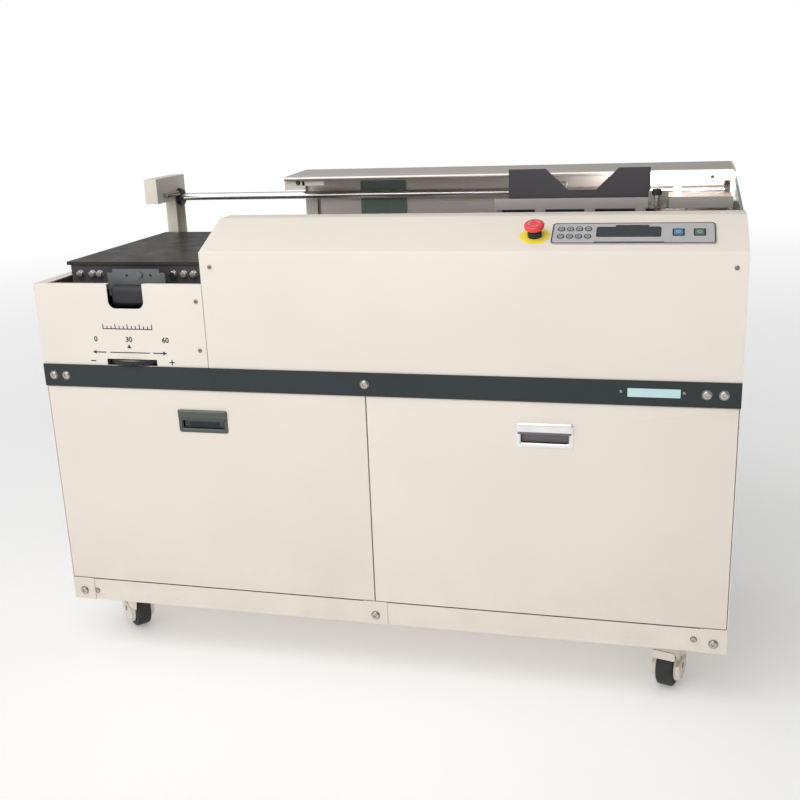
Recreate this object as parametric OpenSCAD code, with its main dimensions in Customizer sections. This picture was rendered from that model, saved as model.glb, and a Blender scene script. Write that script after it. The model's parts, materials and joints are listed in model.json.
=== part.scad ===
// Floor-standing perfect binding machine: a sheet-metal cabinet on casters, with a
// book clamp that rides along a chrome rod from its home under the hood, over a
// milling cutter and a glue roller, to the cover nipping table at the left.
// Millimetres, +Z up, front towards -Y. The origin is on the floor, under the middle.

/* [Cabinet] */
// Width over the side panels
body_w = 1500; // [1440:10:1600]
// Depth from the doors to the rear panel
body_d = 640; // [620:5:700]
// Thickness of the sheet-metal panels
sheet_t = 2; // [1.5:0.25:3]
// Height of the rail below the doors
rail_h = 55; // [48:1:80]
// Height of the bay that the doors close
bay_h = 477; // [430:1:540]
// Height of the dark band
band_h = 50; // [40:1:70]
// How far the dark band stands proud of the doors
band_t = 3; // [2:0.5:5]
// How far the deck plate lies below the band's top edge
deck_drop = 8; // [6:1:14]
// Thickness of the deck plate and of the floor pan
deck_t = 3; // [2:0.5:5]
// Width of the frame's uprights
upright_w = 40; // [30:1:60]
// Width and thickness of the corner brackets
bracket = [55, 2]; // [1:0.5:80]
// Radius of the heads of the frame's screws
screw_r = 8; // [5:0.5:10]
// Height of the heads of the frame's screws
screw_h = 4; // [2:0.5:6]

/* [Doors] */
// Depth of the doors' folded edges
door_d = 18; // [14:1:30]
// Gap round each door
door_gap = 1.5; // [1:0.25:3]
// Width and height of the flush handles
handle = [116, 52]; // [40:1:140]
// Depth of the handles' finger pockets
pocket_d = 14; // [8:1:22]
// Width of the handles' flat rim
handle_rim = 8; // [5:0.5:12]
// Height of the handles' lip, and how far it stands proud of the rim
handle_lip = [20, 3.5]; // [2:0.5:24]
// Distance from the band down to the handles' centres
handle_drop = 72; // [50:1:140]

/* [Station at the left] */
// Width of the station with the nipping table
station_w = 400; // [390:5:430]
// Height of the station's walls above the band
station_h = 182; // [165:1:195]
// Width of the folded top edge of the left wall
wall_fold = 30; // [15:1:36]
// Width and depth of the notch in the station's front
notch = [84, 54]; // [40:1:100]
// Radius of the notch's lower corners
notch_r = 16; // [6:1:22]
// Distance from the left side to the notch's centre
notch_x = 220; // [200:1:235]
// Height of the thumbwheel's slot
slot_h = 14; // [13:0.5:18]
// Width of the thumbwheel's slot
slot_w = 120; // [100:1:150]

/* [Main cover] */
// Height of the main cover's front above the band
cover_h = 251; // [240:1:265]
// Depth of the cover's sloping face
slope_run = 125; // [118:1:140]
// Rise of the cover's sloping face
slope_rise = 55; // [45:1:70]
// Depth of the flat shelf behind the slope
shelf_d = 60; // [45:1:75]
// Height of the folded edge at the back of the shelf
shelf_lip = 12; // [8:1:20]

/* [Hood] */
// Distance from the left side to the hood
hood_x = 430; // [425:1:480]
// Depth of the hood over the channel
hood_d = 175; // [160:1:185]
// Height of the hood's front lip above the shelf
lip_rise = 54; // [48:1:70]
// Rise of the hood from its lip to its back edge
hood_rise = 10; // [5:1:20]
// Radius of the rolled front lip
lip_r = 5; // [3:0.5:7]
// Thickness of the tinted guards
guard_t = 6; // [4:0.5:6]
// Left edge, width and height of the tinted window in the hood's back
window = [578, 119, 150]; // [80:1:700]

/* [Nipping table] */
// Height of the table above the station's rim
table_rise = 36; // [30:1:44]
// Thickness of the table
table_t = 8; // [6:0.5:12]
// Distance from the front to the table's front edge
table_y = 76; // [72:1:84]
// Distance from the cabinet's left side to the table
table_left = 42; // [38:1:48]
// Distance from the rear panel to the table's back edge
table_inset = 65; // [64:1:90]
// How far the ledge behind the table lies below its top
ledge_drop = 12; // [9:1:20]
// How far the table lifts
table_lift = 6; // [3:0.5:6.5]
// Radius of the table's guide pins
pin_r = 8; // [6:0.5:12]
// Travel of the nip bracket
nip_travel = 20; // [10:1:22]
// Radius of the thumbwheel
wheel_r = 75; // [68:1:80]
// Thickness of the thumbwheel
wheel_t = 10; // [8:0.5:11]
// How far the thumbwheel's rim stands out of its slot
wheel_out = 13; // [6:1:18]

/* [Rod and carriage] */
// Radius of the chrome guide rod
rod_r = 10; // [8:0.5:12]
// Height of the rod above the table
rod_rise = 90; // [85:1:96]
// Distance from the rear panel to the rod
rod_inset = 40; // [37:1:44]
// Length of the clamp's jaws
jaw_w = 302; // [280:1:310]
// Thickness of the clamp's jaws
jaw_t = 5; // [4:0.5:8]
// Distance from the front to the front jaw, when open
jaw_y = 300; // [292:1:310]
// Gap between the open jaws
jaw_gap = 62; // [40:1:64]
// Height of the jaws' lower edges above the table
jaw_clear = 8; // [7.5:0.5:12]
// Height of the front jaw's top above the table
jaw_top = 167; // [150:1:180]
// Distance from the right side to the clamp at home
home_inset = 186; // [180:1:200]
// Radius of the clamp's two guide pins
guide_r = 5; // [4:0.5:6]
// Length of each bearing block
block_w = 50; // [36:1:56]
// Half the height and depth of each bearing block
block_r = 22; // [19:0.5:24]
// Wall of the bronze bushes
bush_t = 3; // [2:0.5:4]
// Radial running clearance of the fits
fit = 0.05; // [0.02:0.01:0.1]
// Gap under a moving piece that rests on a fixed one
seat_gap = 0.3; // [0.2:0.05:0.5]

/* [Controls] */
// Width and height of the control panel
panel = [310, 75]; // [60:1:330]
// Distance from the right side to the panel
panel_inset = 59; // [40:1:80]
// Distance up the slope to the panel
panel_s = 26; // [20:1:32]
// How far the panel stands proud of the slope
panel_t = 3; // [2:0.5:5]
// Spacing of the keys, across and up the slope
key_pitch = [17.4, 27.4]; // [16:0.2:30]
// Width and height of each oval key
key_size = [13.5, 16]; // [10:0.5:22]
// Distance from the panel's left edge to the first keys
key_x = 18; // [14:0.5:24]
// Radial gap round each key and button
key_gap = 0.4; // [0.3:0.05:0.8]
// How far the keys and buttons stand proud of the panel
key_proud = 1.6; // [1:0.1:3]
// Width and height of the two start buttons
button = [17, 20]; // [14:0.5:28]
// Distances from the panel's left edge to the two start buttons
button_x = [241, 280]; // [225:1:295]
// Radius of the emergency stop's red head
stop_r = 20; // [15:0.5:22]
// Radius of the emergency stop's collar
stop_collar_r = 14; // [12:0.5:16]
// Distance from the panel's left edge to the stop's axis
stop_gap = 33; // [32:1:60]
// Travel of the emergency stop
stop_travel = 4; // [2:0.5:5]

/* [Casters] */
// Height of the casters, from the floor to the frame
caster_h = 130; // [126:1:150]
// Radius of the caster wheels
caster_r = 50; // [40:1:54]
// Width of the caster wheels
tread_w = 34; // [24:1:40]
// Offset of the wheel's axle from the swivel axis
trail = 26; // [22:1:30]
// Distances from the cabinet's sides, front and back to the swivels
caster_inset = [106, 112, 92]; // [90:1:120]
// Angle of each caster in the photographed pose: front left and right, rear left and right
caster_turn = [46, 165, 14, -20]; // [-180:1:180]
// Thickness of the caster forks
fork_t = 3; // [2:0.5:5]
// Radius of the caster axles
axle_r = 6; // [4:0.5:8]

/* [Inside] */
// Radius of the milling cutter
cutter_r = 62; // [50:1:70]
// Distance from the left side to the cutter's spindle
cutter_x = 860; // [800:5:900]
// Radius of the glue roller
roller_r = 32; // [26:1:34]
// Distance from the left side to the glue roller
roller_x = 605; // [560:5:640]
// Width and height of the glue tank
tank = [170, 66]; // [50:1:190]
// Wall of the glue tank
tank_t = 4; // [3:0.5:6]
// Radius of the bore of the cable gland
gland_r = 6; // [4:0.5:8]

/* [Hidden] */
$fn = 48;

cream = "#e8e0d4";
slate = "#3a4045";
steel = "#a9a9a6";
black = "#242528";
tint = "#46544d";

// Levels, upwards from the floor
z_pan = caster_h;
z_rail = z_pan + rail_h;
z_band = z_rail + bay_h;
z_top = z_band + band_h;
z_deck = z_top - deck_drop;
z_rim = z_top + station_h;
z_fold = z_top + cover_h;
z_crest = z_fold + slope_rise;
z_lip = z_crest + lip_rise;
z_hood = z_lip + hood_rise;
z_table = z_rim + table_rise;
z_ledge = z_table - ledge_drop;
z_rod = z_table + rod_rise;
z_jaw = z_table + jaw_clear;

// Places across and back
mid_x = body_w / 2;
shelf_y = slope_run + shelf_d;
lip_y = body_d - hood_d;
rod_y = body_d - rod_inset;
table_back = body_d - table_inset;
inner_r = body_w - sheet_t;
guard_x = inner_r - guard_t;
slope_a = atan2(slope_rise, slope_run);
back_in = body_d - sheet_t;

// The solids reach from the thumbwheel's rim or the screws' heads, at the front, to the
// gland's nut at the back, and the origin is midway
gland_out = 16;
front_reach = max(wheel_out, band_t + screw_h);
mid_y = (body_d + gland_out - front_reach) / 2;

module place() {
    translate([-mid_x, -mid_y, 0])
        children();
}

// A box between two corners
module block(lo, hi) {
    translate(lo)
        cube(hi - lo);
}

// A profile of [y, z] points, run along X from x0 to x1
module run_x(x0, x1, points) {
    translate([x0, 0, 0])
        rotate([90, 0, 90])
            linear_extrude(height = x1 - x0)
                polygon(points);
}

// Round bars along X, Y and Z
module bar_x(x0, x1, y, z, r) {
    translate([x0, y, z])
        rotate([0, 90, 0])
            cylinder(h = x1 - x0, r = r);
}

module bar_y(x, y0, y1, z, r) {
    translate([x, y0, z])
        rotate([-90, 0, 0])
            cylinder(h = y1 - y0, r = r);
}

module bar_z(x, y, z0, z1, r) {
    translate([x, y, z0])
        cylinder(h = z1 - z0, r = r);
}

// Moves its children to the cover's slope: x across, y up the slope, z out of it
module on_slope(x, s) {
    translate([x, 0, z_fold])
        rotate([slope_a, 0, 0])
            translate([0, s, 0])
                children();
}

// ---- Cabinet ----

post_y = door_d + 2 * door_gap;
seam = 2;

// The pan with its skirts, the strip that the doors stand on and the uprights
module base_frame() color(cream) place() {
    pan_back = back_in;
    block([sheet_t, 0, z_pan], [inner_r, pan_back, z_pan + deck_t]);
    block([sheet_t, 0, z_pan + deck_t], [inner_r, sheet_t, z_rail - seam]);
    block([sheet_t, sheet_t, z_rail - seam - deck_t], [inner_r, door_d, z_rail]);
    block([sheet_t, pan_back - sheet_t, z_pan + deck_t], [inner_r, pan_back, z_rail]);
    uprights = [[sheet_t, post_y], [inner_r - upright_w, post_y],
        [sheet_t, pan_back - sheet_t - upright_w],
        [inner_r - upright_w, pan_back - sheet_t - upright_w],
        [mid_x - upright_w / 2, post_y]];
    for (u = uprights)
        block([u.x, u.y, z_pan + deck_t], [u.x + upright_w, u.y + upright_w, z_deck - deck_t]);
}

// The left panel with its folded top, the right panel with the cover's profile, and
// the plate that closes the cover's left end
module side_panels() color(cream) place() {
    block([0, 0, z_pan], [sheet_t, body_d, z_rim]);
    block([sheet_t, sheet_t, z_rim - sheet_t], [wall_fold, table_back, z_rim]);
    run_x(inner_r, body_w, [[0, z_pan], [0, z_fold], [slope_run, z_crest],
        [shelf_y, z_crest], [shelf_y, z_crest - shelf_lip], [body_d, z_crest - shelf_lip],
        [body_d, z_pan]]);
    run_x(station_w, station_w + sheet_t, [[sheet_t, z_deck], [sheet_t, fold_in_z],
        [crest_in_y, z_crest - sheet_t], [shelf_y - sheet_t, z_crest - sheet_t],
        [shelf_y - sheet_t, z_deck]]);
}

vent_w = 60;
vent_h = 6;
vent_pitch = [90, 16];

module rear_panels() color(cream) place() {
    difference() {
        block([sheet_t, back_in, z_rail], [inner_r, body_d, z_deck]);
        for (i = [-2:2], j = [0:4])
            translate([mid_x + i * vent_pitch.x - vent_w / 2, 0, z_band - 40 - j * vent_pitch.y])
                block([0, back_in - 1, -vent_h], [vent_w, body_d + 1, 0]);
        bar_y(gland_x, back_in - 1, body_d + 1, gland_z, gland_thread_r);
    }
    block([sheet_t, back_in, z_deck + seat_gap], [hood_x, body_d, z_ledge]);
    block([sheet_t, back_in - post_gap, z_ledge - sheet_t], [post_x, back_in, z_ledge]);
    block([post_x + post_w, back_in - post_gap, z_ledge - sheet_t], [hood_x, back_in, z_ledge]);
}

bracket_x = [0, mid_x - bracket[0] / 2, body_w - bracket[0]];

module corner_brackets() color(cream) place() {
    for (i = [0:2]) {
        difference() {
            block([bracket_x[i], -bracket[1], z_pan], [bracket_x[i] + bracket[0], 0, z_rail]);
            bar_y(bracket_x[i] + bracket[0] / 2, -bracket[1] - 1, 1, bracket_z, screw_r / 2);
        }
    }
}

module middle_band() color(slate) place() {
    difference() {
        block([0, -band_t, z_band], [body_w, 0, z_top]);
        for (x = band_screw_x)
            bar_y(x, -band_t - 1, 1, band_z, screw_r / 2);
    }
}

module middle_deck() color(steel) place() {
    block([sheet_t, sheet_t, z_deck - deck_t], [inner_r, back_in, z_deck]);
    block([sheet_t, 0, z_band], [inner_r, sheet_t, z_top]);
    bar_z(notch_x, wheel_y, z_deck, z_pinion + pinion_h + 2, pivot_r);
    bar_z(notch_x, wheel_y, z_deck, z_wheel - seat_gap, pivot_r + 6);
}

band_z = z_band + band_h / 2;
bracket_z = z_pan + rail_h * 0.4;
band_screw_x = [24, 55, mid_x, body_w - 64, body_w - 32];
bracket_screw_x = [bracket[0] / 2, mid_x, body_w - bracket[0] / 2];

// A screw's head on a face that looks forwards, with its shank through to the sheet at y = 0
module screw(x, z, face) {
    bar_y(x, face - screw_h, face, z, screw_r);
    bar_y(x, face, 0, z, screw_r / 2);
}

module frame_screws() color(steel) place() {
    for (x = band_screw_x)
        screw(x, band_z, -band_t);
    for (x = bracket_screw_x)
        screw(x, bracket_z, -bracket[1]);
    for (x = nip_bolt_x)
        bar_y(x, table_y - 2, table_y + 4, nip_bolt_z, 7, $fn = 6);
}

// ---- Station at the left ----

slot_z = z_top + 1;

module station_front() color(cream) place() {
    difference() {
        union() {
            block([sheet_t, 0, z_top], [station_w, sheet_t, z_rim]);
            block([wall_fold, sheet_t, z_rim - sheet_t], [station_w, 12, z_rim]);
        }
        block([notch_x - notch.x / 2, -1, z_rim - notch.y + notch_r],
            [notch_x + notch.x / 2, 13, z_rim + 1]);
        block([notch_x - notch.x / 2 + notch_r, -1, z_rim - notch.y],
            [notch_x + notch.x / 2 - notch_r, 13, z_rim]);
        for (side = [-1, 1])
            bar_y(notch_x + side * (notch.x / 2 - notch_r), -1, 13,
                z_rim - notch.y + notch_r, notch_r);
        block([notch_x - slot_w / 2, -1, slot_z], [notch_x + slot_w / 2, 3, slot_z + slot_h]);
    }
}

// ---- Main cover ----

// Where the cover's inner faces meet, at the fold and at the crest
fold_in_z = z_fold + sheet_t * tan(slope_a) - sheet_t / cos(slope_a);
crest_in_y = slope_run + (sheet_t / cos(slope_a) - sheet_t) / tan(slope_a);
panel_x = body_w - panel_inset - panel.x;
panel_hole = 4;
stop_x = panel_x - stop_gap;
stop_s = panel_s + panel.y / 2 - 5;
thread_r = 11;

module main_cover() color(cream) place() {
    difference() {
        run_x(station_w + sheet_t, inner_r, [[0, z_top], [0, z_fold], [slope_run, z_crest],
            [shelf_y, z_crest], [shelf_y, z_crest - shelf_lip],
            [shelf_y - sheet_t, z_crest - shelf_lip], [shelf_y - sheet_t, z_crest - sheet_t],
            [crest_in_y, z_crest - sheet_t], [sheet_t, fold_in_z], [sheet_t, z_top]]);
        on_slope(panel_x, panel_s)
            block([panel_hole, panel_hole, -sheet_t * 2],
                [panel.x - panel_hole, panel.y - panel_hole, sheet_t]);
        on_slope(stop_x, stop_s)
            translate([0, 0, -sheet_t * 2])
                cylinder(h = sheet_t * 3, r = thread_r + 0.3);
    }
}

// ---- Hood ----

module hood() color(steel) place() {
    difference() {
        run_x(hood_x, guard_x, [[body_d, z_deck], [body_d, z_hood], [lip_y + lip_r, z_lip + lip_r],
            [lip_y + lip_r, z_lip + lip_r - sheet_t * 1.2], [back_in, z_hood - sheet_t],
            [back_in, z_deck]]);
        block([window[0], back_in - 1, z_window], [window[0] + window[1], body_d + 1,
            z_window + window[2]]);
    }
    bar_x(hood_x, guard_x, lip_y + lip_r, z_lip, lip_r);
}

z_window = z_lip - window[2] - 22;
end_plate_z = z_rod + block_r + 2;
leg_y = rod_y + block_r + 4;

// The left end is a notched plate with a leg, and the right end is a full plate
module hood_ends() color(cream) place() {
    run_x(hood_x - sheet_t, hood_x, [[lip_y + 2 * lip_r, end_plate_z], [leg_y, end_plate_z],
        [leg_y, z_ledge], [body_d, z_ledge], [body_d, z_hood - 4],
        [lip_y + 2 * lip_r, z_lip]]);
    block([hood_x, leg_y, z_deck], [hood_x + 30, leg_y + sheet_t, end_plate_z - 30]);
    run_x(guard_x, guard_x + guard_t, [[lip_y, z_deck], [lip_y, z_lip], [body_d, z_hood],
        [body_d, z_crest - shelf_lip], [back_in, z_crest - shelf_lip], [back_in, z_deck]]);
}

// The window in the hood's back, and the guard between the cover's shelf and the hood
module tinted_guards() color(tint) place() {
    block([window[0] - 10, back_in - guard_t, z_window - 10],
        [window[0] + window[1] + 10, back_in, z_window + window[2] + 10]);
    run_x(guard_x, guard_x + guard_t, [[shelf_y, z_deck], [shelf_y, z_crest - 1],
        [lip_y, z_lip - 10], [lip_y, z_deck]]);
}

// ---- Rod ----

post_x = 48;
post_w = 29;
post_gap = 24;
post_d = 56;
post_t = 4;
post_back = back_in - 2;
head = [35, 166, 63];
head_t = 2.5;
head_x = post_x - 3;
z_head = z_rod - 6;
collar_r = 20;
collar_w = 12;

module rail_post() color(cream) place() {
    top = z_head + head.z - head_t;
    block([post_x, post_back - post_d, z_deck], [post_x + post_t, post_back, top]);
    block([post_x + post_t, post_back - post_d, z_deck], [post_x + post_w,
        post_back - post_d + post_t, top]);
    block([post_x + post_t, post_back - post_t, z_deck], [post_x + post_w, post_back, top]);
}

module head_block() color(cream) place() {
    t = head_t;
    lo = [head_x, post_back + 1 + t - head.y, z_head];
    hi = lo + [head.x, head.y, head.z];
    difference() {
        block(lo, hi);
        block(lo + [t, t, -1], hi - [t, t, t]);
        bar_x(hi.x - t - 1, hi.x + 1, rod_y, z_rod, rod_r + 0.3);
    }
}

module guide_rod() color("#d8dadc") place()
    bar_x(post_x + post_t, guard_x, rod_y, z_rod, rod_r);

module rod_collars() color(black) place() {
    for (x = [head_x + head.x, guard_x - collar_w])
        difference() {
            bar_x(x, x + collar_w, rod_y, z_rod, collar_r);
            bar_x(x - 1, x + collar_w + 1, rod_y, z_rod, rod_r + fit);
        }
}

tray_x = body_w - home_inset + 38;
tray_z = z_rod - 2;
tray_y = jaw_y + 52;

// The galvanised shelf to the right of the parked clamp, on its leg
module home_tray() color(steel) place() {
    block([tray_x, tray_y, tray_z - sheet_t], [guard_x, rod_y - collar_r - 2, tray_z]);
    block([tray_x, tray_y, tray_z - 14], [guard_x, tray_y + sheet_t, tray_z - sheet_t]);
    block([tray_x + 40, rod_y - 90, z_deck], [tray_x + 44, rod_y - 30, tray_z - sheet_t]);
    block([tray_x + 12, rod_y - 60, tray_z], [tray_x + 30, rod_y - 30, tray_z + 14]);
}

// ---- Carriage with the book clamp ----

jaw_x = body_w - home_inset - jaw_w;
ear = 13.5;
ear_gap = 0.5;
cheek_t = 8;
beam_x = [jaw_x - ear - ear_gap - cheek_t - 6, guard_x - 10];
cheeks_x = [beam_x[0] + 6, jaw_x + jaw_w + ear + ear_gap];
beam_y = [jaw_y - 24, jaw_y - 15];
beam_z = [z_rod - 20, z_rod + 16];
carriage_z = z_rod - block_r - 8;
rear_jaw_y = jaw_y + jaw_t + jaw_gap;
guide_z = z_rod - 20;
boss_r = guide_r + 3;
guide_x = [jaw_x - ear + boss_r, jaw_x + jaw_w + ear - boss_r];
block_x = [jaw_x + 50, jaw_x + jaw_w - 38 - block_w];
bush_r = rod_r + fit + bush_t;
slot_pitch = 106;
slot_len = 84;
slot_x = [for (i = [0:3]) beam_x[0] + 4 + i * slot_pitch];
slot_end = [for (i = [0:3]) i < 3 ? slot_x[i] + slot_len : beam_x[1] - 8];

module carriage() color(steel) place() {
    difference() {
        union() {
            for (x = block_x)
                block([x, rod_y - block_r, carriage_z + 8], [x + block_w, rod_y + block_r,
                    z_rod + block_r]);
            block([cheeks_x[0], rear_jaw_y + jaw_t, carriage_z], [cheeks_x[1] + cheek_t,
                post_back - post_d - 16, carriage_z + 8]);
            block([block_x[0], post_back - post_d - 16, carriage_z], [block_x[1] + block_w,
                rod_y + block_r, carriage_z + 8]);
            block([jaw_x, rear_jaw_y, z_jaw], [jaw_x + jaw_w, rear_jaw_y + jaw_t, z_rod + 26]);
            block([cheeks_x[0], rear_jaw_y, carriage_z], [cheeks_x[1] + cheek_t,
                rear_jaw_y + jaw_t, carriage_z + 20]);
            for (x = cheeks_x)
                block([x, beam_y[0] + 1, carriage_z], [x + cheek_t, rear_jaw_y, guide_z + 12]);
            block([beam_x[0], beam_y[0], beam_z[0]], [beam_x[1], beam_y[1], beam_z[1]]);
        }
        for (x = block_x)
            bar_x(x - 1, x + block_w + 1, rod_y, z_rod, bush_r);
        for (i = [0:3])
            block([slot_x[i], beam_y[0] - 1, beam_z[0] + 5],
                [slot_end[i], beam_y[1] + 1, beam_z[0] + 13]);
    }
    for (x = guide_x)
        bar_y(x, beam_y[1], rear_jaw_y, guide_z, guide_r);
    for (i = [1:3])
        bar_y(slot_x[i] - 11, beam_y[0] - 4, beam_y[0], beam_z[0] + 9, 5);
}

module carriage_bushes() color("#b08a4a") place() {
    for (x = block_x)
        difference() {
            bar_x(x, x + block_w, rod_y, z_rod, bush_r);
            bar_x(x - 1, x + block_w + 1, rod_y, z_rod, rod_r + fit);
        }
}

vee = [78, 59, 46];

module clamp_jaw() color("#3b3b40") place() {
    z_high = z_table + jaw_top;
    left = jaw_x;
    right = jaw_x + jaw_w;
    v_mid = (left + right) / 2 + 7;
    difference() {
        union() {
            translate([0, jaw_y + jaw_t, 0])
                rotate([90, 0, 0])
                    linear_extrude(height = jaw_t)
                        polygon([[left, z_jaw], [left, z_high], [v_mid - vee[0], z_high],
                            [v_mid - vee[1] / 2, z_high - vee[2]],
                            [v_mid + vee[1] / 2, z_high - vee[2]], [v_mid + vee[0], z_high],
                            [right, z_high], [right, z_jaw]]);
            for (x = [left - ear, right])
                block([x, jaw_y, guide_z - 14], [x + ear, jaw_y + jaw_t, guide_z + 14]);
            for (x = guide_x)
                bar_y(x, jaw_y + jaw_t, jaw_y + jaw_t + 10, guide_z, boss_r);
        }
        for (x = guide_x)
            bar_y(x, jaw_y - 1, jaw_y + jaw_t + 11, guide_z, guide_r + fit);
    }
}

gauge_x = jaw_x + jaw_w - 3;
gauge_y = beam_y[0] - 0.3;
knob_y = gauge_y - 14;
knob_x = gauge_x + 17;
z_gauge = beam_z[1] - 22;

module side_gauge() color("#c4c4be") place() {
    difference() {
        union() {
            block([gauge_x, gauge_y - 3, z_gauge], [gauge_x + 41, gauge_y, z_gauge + 36]);
            block([gauge_x + 2, gauge_y - 20, z_gauge], [gauge_x + 36, gauge_y - 3, z_gauge + 4]);
        }
        bar_z(knob_x, knob_y, z_gauge - 1, z_gauge + 5, 4 + fit);
    }
}

module gauge_knob() color(black) place() {
    bar_z(knob_x, knob_y, z_gauge - 3, z_gauge + 30, 4);
    bar_z(knob_x, knob_y, z_gauge + 4.3, z_gauge + 8, 7);
    bar_z(knob_x, knob_y, z_gauge + 28, z_gauge + 41, 10);
}

// ---- Nipping table ----

frame_x = [table_left + 8, station_w - 22];
frame_t = 8;
bridge_y = [300, 360];
bridge_z = [z_table - 130, z_table - 100];
table_pin_x = [115, station_w - 95];
table_pin_y = (bridge_y[0] + bridge_y[1]) / 2;
nip_bolt_x = [73, 103, 121, station_w - 100, station_w - 74, station_w - 51];
nip_bolt_z = z_table - 28;
nip_pin_x = [notch_x - 45, notch_x + 61];
nip_pin_z = z_rim - 20;
nip_pin_r = 5;

module nip_frame() color("#2c2f33") place() {
    top = z_table - table_t;
    difference() {
        union() {
            for (x = frame_x)
                block([x, table_y + 4, z_deck], [x + frame_t, table_back - 15, top]);
            block([frame_x[0] + frame_t, table_y + 4, top - 54], [frame_x[1], table_y + 22, top]);
            block([frame_x[0] + frame_t, bridge_y[0], bridge_z[0]], [frame_x[1], bridge_y[1],
                bridge_z[1]]);
        }
        for (x = table_pin_x)
            bar_z(x, table_pin_y, bridge_z[0] - 1, bridge_z[1] + 1, pin_r + fit);
    }
    for (x = nip_pin_x)
        bar_y(x, table_y - nip_travel - 24, table_y + 4, nip_pin_z, nip_pin_r);
}

module nip_table() color("#2b2a2b") place() {
    block([table_left, table_y, z_table - table_t], [station_w - 6, table_back, z_table]);
    for (x = table_pin_x)
        bar_z(x, table_pin_y, bridge_z[0] - table_lift - 4, z_table - table_t, pin_r);
}

nip_y = table_y - nip_travel - 12;
nip_x = [notch_x - 61, notch_x + 77];
pinion_r = 8;
rack_x = notch_x + pinion_r + 0.4;
pinion_h = 14;
pivot_r = 4;
wheel_y = wheel_r - wheel_out;
z_wheel = slot_z + (slot_h - wheel_t) / 2;
z_pinion = z_wheel + wheel_t;

// The notched grey plate that sets the nip, with its arm and the rack on it
module nip_bracket() color("#7c8084") place() {
    top = z_rim + 25;
    difference() {
        union() {
            block([nip_x[0], nip_y, z_rim - 34], [nip_x[1], nip_y + 3, top]);
            block([rack_x, nip_y, z_pinion + 2], [rack_x + 12, nip_y + 3, z_rim - 34]);
            block([rack_x, nip_y - 14, z_pinion + 2], [rack_x + 10, nip_y + 60, z_pinion + 12]);
        }
        for (x = nip_pin_x)
            bar_y(x, nip_y - 1, nip_y + 4, nip_pin_z, nip_pin_r + fit);
        for (x = [nip_x[0] - 1, nip_x[1] - 13])
            block([x, nip_y - 1, top - 8], [x + 14, nip_y + 4, top + 1]);
        for (x = [47, 104])
            bar_y(nip_x[0] + x, nip_y - 1, nip_y + 4, z_rim + 11, 3);
    }
    bar_y(nip_x[0] + 79, nip_y - 5, nip_y, z_rim + 13, 7, $fn = 6);
}

module nip_handle() color(black) place() {
    w = notch.x - 10;
    grip = [30, notch.y - 6];
    grip_z = z_rim - 6 - grip.y / 2;
    translate([notch_x - w / 2, nip_y - 2 - grip.x / 2, grip_z])
        rotate([90, 0, 90])
            oval(grip, 0, w);
    block([notch_x - w / 2 + 8, nip_y - 10, grip_z], [notch_x + w / 2 - 8, nip_y,
        grip_z + 14]);
}

module thumbwheel() color(black) place() {
    difference() {
        union() {
            bar_z(notch_x, wheel_y, z_wheel, z_wheel + wheel_t, wheel_r);
            bar_z(notch_x, wheel_y, z_pinion, z_pinion + pinion_h, pinion_r);
        }
        bar_z(notch_x, wheel_y, z_wheel - 1, z_pinion + pinion_h + 1, pivot_r + fit);
    }
}

// ---- Controls ----

button_travel = 2;
key_s = [panel_s + panel.y / 2 + key_pitch.y / 2, panel_s + panel.y / 2 - key_pitch.y / 2];
button_s = panel_s + panel.y / 2 + 1;
key_h = key_proud + panel_t + 3;

// An oval with straight sides, as wide and high as given, less an inset all round
module oval(size, inset, h) {
    r = size.x / 2 - inset;
    reach = (size.y - size.x) / 2;
    linear_extrude(height = h) {
        square([2 * r, 2 * reach], center = true);
        for (side = [-1, 1])
            translate([0, side * reach])
                circle(r);
    }
}

module control_panel() color("#a4a8ac") place() {
    on_slope(panel_x, panel_s)
        difference() {
            union() {
                block([0, 0, 0], [panel.x, panel.y, panel_t]);
                block([panel_hole + 0.5, panel_hole + 0.5, -24],
                    [panel.x - panel_hole - 0.5, panel.y - panel_hole - 0.5, 0]);
            }
            for (i = [0:3], j = [0, 1])
                translate([key_x + i * key_pitch.x, key_s[j] - panel_s, key_floor])
                    oval(key_size, -key_gap, 20);
            for (x = button_x)
                translate([x - button.x / 2 - key_gap, button_s - panel_s - button.y / 2
                    - key_gap, key_floor])
                    cube([button.x + 2 * key_gap, button.y + 2 * key_gap, 20]);
        }
}

key_floor = panel_t + key_proud - key_h - button_travel - seat_gap;

// Key number n, counted along the upper row and then the lower one
module key(n) color("#8f949a") place() {
    i = (n - 1) % 4;
    j = floor((n - 1) / 4);
    on_slope(panel_x + key_x + i * key_pitch.x, key_s[j])
        translate([0, 0, panel_t + key_proud - key_h])
            oval(key_size, 0, key_h);
}

module start_button(x) {
    on_slope(panel_x + x - button.x / 2, button_s - button.y / 2)
        translate([0, 0, panel_t + key_proud - key_h])
            cube([button.x, button.y, key_h]);
}

module blue_button() color("#2e6fb5") place()
    start_button(button_x[0]);

module green_button() color("#3f7f68") place()
    start_button(button_x[1]);

stop_h = [12, 24];

module stop_base() color(slate) place() {
    on_slope(stop_x, stop_s) {
        difference() {
            union() {
                cylinder(h = stop_h[0], r = stop_collar_r);
                translate([0, 0, -sheet_t - 30])
                    cylinder(h = sheet_t + 30, r = thread_r);
                translate([0, 0, -sheet_t - 6])
                    cylinder(h = 6, r = thread_r + 4);
            }
            translate([0, 0, -20])
                cylinder(h = 20 + stop_h[0] + 1, r = 6 + fit);
        }
    }
}

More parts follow.
